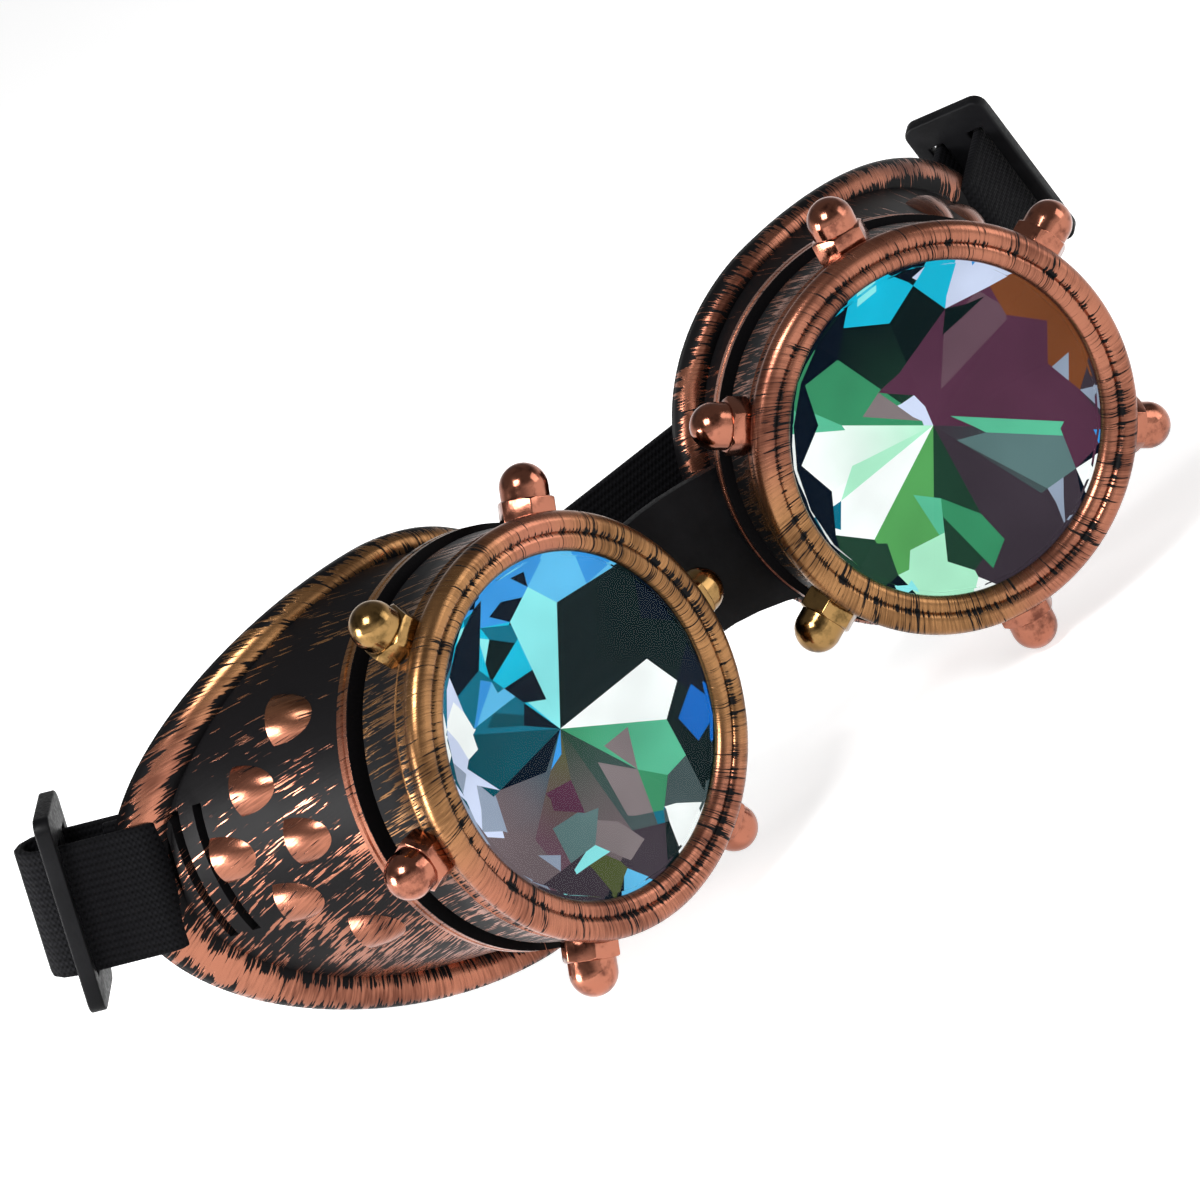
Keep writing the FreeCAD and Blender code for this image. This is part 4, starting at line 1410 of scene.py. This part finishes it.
    def build(self) -> Piece:
        """Cuts and colours the facets and dresses the crystal.

        Returns:
            The crystal.
        """
        word = self.side.word
        crystal = Bench.from_node(f"{word}_kaleidoscope_lens", f"{word}_crystal")
        crystal.data.materials.append(ClearTable(f"{word}_crystal_table").make())
        crystal.data.materials.append(FacetReflectionGlow(f"{word}_crystal_facets").make())
        tints = self.tints()
        self.mark_facets(crystal)
        for ghost in tints.ghosts:
            self.cut(crystal, ghost)
        self.colour(crystal, tints)
        self.draw_in(crystal)
        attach(crystal, f"{word}_lens")
        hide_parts(f"{word}_kaleidoscope_lens")
        LOG.info("%s has %d faces", crystal.name, len(crystal.data.polygons))
        return crystal


@dataclass
class Eyecup:
    """Cup with its rolled brim and vents; sizes in millimetres and degrees, drawn for the left side."""

    side: Side
    brim_out: float = 39.5
    brim_in: float = 28.2
    brim_up: float = 27.9
    brim_down: float = 33.7
    brim_raise: float = 1.8
    brim_lean: float = 7.1
    face_near_depth: float = 26.85
    face_near_inset: float = 13.65
    face_curve_radius: float = 51.5
    collar_back: float = 16.7
    neck_radius: float = 26.4
    flare: Triple = (8.6, 1.6, -47.3)
    flare_radius: float = 29.0
    vent_middle_angle: float = 10.8
    vent_pitch_angle: float = 33.5
    vent_rows: tuple[float, ...] = (0.255, 0.395, 0.525)
    vent_radius: float = 4.05
    vent_reach: float = 8.4
    vent_sink: float = 1.9
    vent_wall: float = 0.3
    vent_skirt: float = 0.5
    brim_steps: int = 160
    ridge_inward: float = 1.5
    ridge_reach: float = 1.9
    ridge_depth: float = 1.0

    @property
    def gold_headings(self) -> tuple[float, ...]:
        """Headings at which the copper turns to gold, in degrees."""
        return (85.0,) if self.side is Side.RIGHT else ()

    def place(self) -> Matrix:
        """Matrix from the left cup's own frame to this cup's place; the right cup is its mirror image."""
        mirror = Matrix.Scale(-1, 4, (1, 0, 0)) if self.side is Side.RIGHT else Matrix.Identity(4)
        return mirror @ CUPS.place(Side.LEFT)

    def brim_point(self, turn: float, inward: float, back: float) -> Vector:
        """Point on the brim.

        Args:
            turn: angle round the brim.
            inward: distance in from the brim's edge.
            back: distance behind its front face.
        Returns:
            The point in the left cup's own frame, in millimetres.
        """
        across = self.brim_out if math.cos(turn) > 0 else self.brim_in
        upward = self.brim_up if math.sin(turn) > 0 else self.brim_down
        flat = Vector(((across - inward) * math.cos(turn), (upward - inward) * math.sin(turn)))
        lean = math.radians(self.brim_lean)
        x = flat.x * math.cos(lean) - flat.y * math.sin(lean)
        y = flat.x * math.sin(lean) + flat.y * math.cos(lean) + self.brim_raise
        depth = self.face_near_depth + (x + self.face_near_inset) ** 2 / (2 * self.face_curve_radius)
        return Vector((x, y, -depth - back))

    def rolled_brim(self) -> Piece:
        """Convex band that rolls over the brim's edge.

        Returns:
            The band.
        """
        place = self.place()
        section = [(4.9, 0.3), (4.3, -0.2), (3.6, -0.62), (2.9, -0.86), (2.2, -0.95), (1.4, -0.82),
                   (0.7, -0.4), (0.15, 0.35), (-0.05, 1.2), (0.1, 2.3), (0.6, 3.2), (1.5, 3.7), (2.8, 3.7),
                   (4.0, 3.0), (4.8, 1.6)]
        brim = Bench.looped(f"{self.side.word}_brim_roll", self.brim_steps, section,
                            lambda turn, inward, back: place @ (self.brim_point(turn, inward, back) * MM))
        Bench.smooth(brim, angle=50)
        # Copper on the crest of the roll: this mark is partly dry-brushed copper on the raised crest and
        # partly a painted highlight line.
        ridge = brim.data.attributes.new("ridge", "FLOAT", "POINT")
        for index, mark in enumerate(ridge.data):
            inward, back = section[index % len(section)]
            near = max(0.0, 1 - abs(inward - self.ridge_inward) / self.ridge_reach)
            mark.value = near if back < self.ridge_depth else 0.0
        # The crest step adds that copper, partly a painted highlight; the Lower step adds copper towards the
        # bottom.
        covers = (("ridge", 0.1, 0.9, 0.0, 0.36), ("Lower", 0.0, 0.8, 0.0, 0.16))
        finish = AntiquedCopper(f"{self.side.word}_brim_copper", self.side, base_cover=0.34, covers=covers,
                                gold_headings=self.gold_headings)
        return Bench.finish(brim, finish.make(), f"{self.side.word}_cup", "antiqued_cup")

    def wall_point(self, angle: float, share: float) -> Vector:
        """Point of the flared wall at an angle and a share of its depth, in the left cup's own frame.

        Args:
            angle: angle round the wall, in degrees.
            share: share of the wall's depth.
        Returns:
            The point, in millimetres.
        """
        turn = math.radians(angle)
        radius = self.neck_radius + (self.flare_radius - self.neck_radius) * share
        middle = Vector((0, 0, -self.collar_back)) + Vector(self.flare) * share
        return middle + Vector((radius * math.cos(turn), radius * math.sin(turn), 0))

    def vents(self) -> Piece:
        """Leaf-shaped blisters over the vents, open to the rear.

        Returns:
            All blisters of the cup as one piece.
        """
        Bench.clear()
        bpy.ops.mesh.primitive_uv_sphere_add(segments=40, ring_count=28, radius=MM)
        leaf = Bench.named("vent_leaf")
        bpy.ops.transform.resize(value=(self.vent_reach, self.vent_radius, self.vent_radius))
        bpy.ops.object.transform_apply(location=True, rotation=True, scale=True)
        Bench.edit(leaf)
        bpy.ops.mesh.bisect(plane_co=(0, 0, 0), plane_no=(1, 0, 0), clear_inner=True)
        bpy.ops.mesh.select_all(action="SELECT")
        bpy.ops.mesh.bisect(plane_co=(0, 0, (self.vent_sink - self.vent_skirt) * MM), plane_no=(0, 0, 1),
                            clear_inner=True)
        Bench.done()
        Bench.apply(leaf, "SOLIDIFY", thickness=self.vent_wall * MM, offset=-1)
        Bench.smooth(leaf, angle=40)
        rows = len(self.vent_rows)
        copies = []
        for row, share in enumerate(self.vent_rows):
            for index in range(rows - row):
                angle = self.vent_middle_angle + self.vent_pitch_angle * (index - (rows - row - 1) / 2)
                along = (self.wall_point(angle, 1) - self.wall_point(angle, 0)).normalized()
                radial = Vector((math.cos(math.radians(angle)), math.sin(math.radians(angle)), 0))
                outward = (radial - along * radial.dot(along)).normalized()
                axes = Matrix((-along, outward.cross(-along), outward)).transposed().to_4x4()
                base = Matrix.Translation((self.wall_point(angle, share) - outward * self.vent_sink) * MM)
                copies.append(Bench.twin(leaf, f"leaf_{len(copies)}", self.place() @ base @ axes))
        bpy.data.objects.remove(leaf)
        vents = Bench.join(f"{self.side.word}_vent_leaves", copies)
        finish = AntiquedCopper(f"{self.side.word}_vent_copper", self.side, base_cover=0.72,
                                gold_headings=self.gold_headings, shine=0.18)
        return Bench.finish(vents, finish.make(), f"{self.side.word}_cup", "antiqued_cup")

    def build(self) -> None:
        """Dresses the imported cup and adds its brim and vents."""
        # The first step keeps the collar's front face, in the gap behind the ring, blacker than the wall,
        # partly as a recess the brush misses and partly as painted shade, and puts copper on the collar; the
        # second ends that copper behind the collar; the third adds copper towards the bottom.
        covers = (("Depth", 14.52, 14.7, -0.35, 0.46), ("Depth", self.collar_back, 17.4, 0.0, -0.4),
                  ("Lower", -0.6, 0.9, 0.0, 0.24))
        finish = AntiquedCopper(f"{self.side.word}_cup_copper", self.side, base_cover=0.2, covers=covers,
                                gold_headings=self.gold_headings)
        Bench.dress(f"{self.side.word}_eyecup", finish.make())
        self.rolled_brim()
        self.vents()


@dataclass
class SoftBand:
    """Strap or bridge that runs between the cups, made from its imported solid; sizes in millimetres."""

    node: str
    name: str
    slot: str
    finish: SatinBlack | WovenElastic
    edge: float
    reach: float

    def build(self) -> Piece:
        """Rounds the band's edges and dresses it.

        Returns:
            The band.
        """
        band = Bench.from_node(self.node, self.name)
        Bench.apply(band, "BEVEL", width=self.edge * MM, segments=2, limit_method="ANGLE",
                    angle_limit=math.radians(50))
        Bench.smooth(band, angle=45)
        band.data.materials.append(self.finish.make())
        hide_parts(self.node)
        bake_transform(band)
        LOG.info("%s bends between the cups", band.name)
        return band


@dataclass
class Slider:
    """Strap slider of one side; sizes in millimetres."""

    side: Side
    edge: float = 0.35

    def build(self) -> Piece:
        """Rounds the slider's edges and dresses it.

        Returns:
            The slider.
        """
        word = self.side.word
        slider = Bench.from_node(f"{word}_strap_slider", f"{word}_slider")
        Bench.apply(slider, "BEVEL", width=self.edge * MM, segments=3, limit_method="ANGLE",
                    angle_limit=math.radians(40))
        Bench.smooth(slider, angle=40)
        return Bench.finish(slider, SatinBlack(f"{word}_slider_black").make(), f"{word}_slider", "slider",
                            f"{word}_strap_slider")


@dataclass
class Studio:
    """Camera, lamps, floor and backdrop; metres and degrees, and millimetres for the lens and sensor."""

    focal: float = 149.25
    sensor: float = 36.0
    clip_start: float = 0.01
    eye: Triple = (-0.2818, -0.5947, 0.189)
    aim: Triple = (-0.0058, 0.0008, 0)
    roll: float = -31.3
    lamp_aim: Triple = (0, -0.02, 0)
    floor_size: float = 6.0
    floor_gap: float = 0.0005
    floor_glow: float = 0.62
    floor_tone: Colour = (0.9, 0.9, 0.9, 1)
    floor_rough: float = 0.9
    sky_range: Pair = (0.1, 0.45)
    sky_light: Pair = (1.0, 0.18)

    @staticmethod
    def aimed(spot: Triple, aim: Triple) -> Matrix:
        """Place of a camera or lamp that faces a point."""
        facing = (Vector(aim) - Vector(spot)).to_track_quat("-Z", "Y")
        return Matrix.Translation(spot) @ facing.to_matrix().to_4x4()

    def camera(self) -> None:
        """Sets the camera at the photograph's angle."""
        data = bpy.data.cameras.new("camera")
        data.lens = self.focal
        data.sensor_width = self.sensor
        data.sensor_fit = "HORIZONTAL"
        data.clip_start = self.clip_start
        camera = bpy.data.objects.new("camera", data)
        bpy.context.scene.collection.objects.link(camera)
        rolled = Matrix.Rotation(math.radians(self.roll), 4, "Z")
        camera.matrix_world = self.aimed(self.eye, self.aim) @ rolled
        bpy.context.scene.camera = camera

    def lamp(self, name: str, spot: Triple, size: float, power: float) -> None:
        """Adds one soft area lamp.

        Args:
            name: the lamp's name.
            spot: where it stands.
            size: its width.
            power: its power in watts.
        """
        data = bpy.data.lights.new(name, "AREA")
        data.shape = "SQUARE"
        data.size = size
        data.energy = power
        lamp = bpy.data.objects.new(name, data)
        bpy.context.scene.collection.objects.link(lamp)
        lamp.matrix_world = self.aimed(spot, self.lamp_aim)

    def world(self) -> None:
        """White surroundings that darken overhead."""
        world = bpy.data.worlds.new("studio")
        bpy.context.scene.world = world
        world.use_nodes = True
        world.node_tree.nodes.clear()
        graph = Graph(world.node_tree)
        height = graph.split(graph.add("ShaderNodeTexCoord").outputs["Generated"])[2]
        back = graph.add("ShaderNodeBackground")
        graph.fill(back, {"Color": (1, 1, 1, 1),
                          "Strength": graph.ramp(height, *self.sky_range, *self.sky_light)})
        out = graph.add("ShaderNodeOutputWorld")
        graph.feed(out.inputs["Surface"], back.outputs[0])

    def floor(self) -> None:
        """Pale floor under the lowest nut."""
        Bench.clear()
        bpy.ops.mesh.primitive_plane_add(size=self.floor_size,
                                         location=(0, 0, CAD_BOX[0][2] - self.floor_gap))
        floor = Bench.named("floor")
        material, graph, shader, _ = Finish("pale_floor").start()
        path = graph.add("ShaderNodeLightPath")
        seen = graph.math("MAXIMUM", path.outputs["Is Camera Ray"], path.outputs["Is Glossy Ray"])
        seen = graph.math("MAXIMUM", seen, path.outputs["Is Transmission Ray"])
        glow = graph.math("MULTIPLY", seen, self.floor_glow)
        graph.fill(shader, {"Base Color": self.floor_tone, "Roughness": self.floor_rough,
                            "Emission Strength": 1.0, "Emission Color": graph.combine(glow, glow, glow)})
        floor.data.materials.append(material)

    def build(self) -> None:
        """Sets up the whole studio."""
        bpy.context.scene.view_settings.view_transform = "Standard"
        self.camera()
        self.world()
        self.floor()
        self.lamp("key", (-0.55, -0.45, 0.8), size=0.4, power=10)
        self.lamp("fill", (0.8, -0.7, 0.3), size=0.6, power=3)
        self.lamp("rim", (-0.8, 0.18, 0.14), size=0.3, power=8)


def dress_hidden(side: Side) -> None:
    """Dresses the studs and the seal of one side, which stay as packed."""
    Bench.dress(f"{side.word}_nut_studs", PolishedNut(f"{side.word}_stud_brass", side).make())
    Bench.dress(f"{side.word}_lens_seal", SatinBlack(f"{side.word}_seal_rubber").make())


def main() -> None:
    """Builds every piece in order."""
    logging.basicConfig(level=logging.INFO, format="%(name)s: %(message)s")
    Studio().build()
    for side in Side:
        Eyecup(side).build()
        LensRing(side).build()
        AcornNuts(side).build()
        Crystal(side).build()
        Slider(side).build()
        dress_hidden(side)
    SoftBand("nose_bridge", "soft_bridge", "bridge", SatinBlack("bridge_rubber"),
             edge=0.5, reach=9.0).build()
    SoftBand("head_strap", "elastic_strap", "strap", WovenElastic("strap_elastic"),
             edge=0.35, reach=20.0).build()


if __name__ == "__main__":
    main()
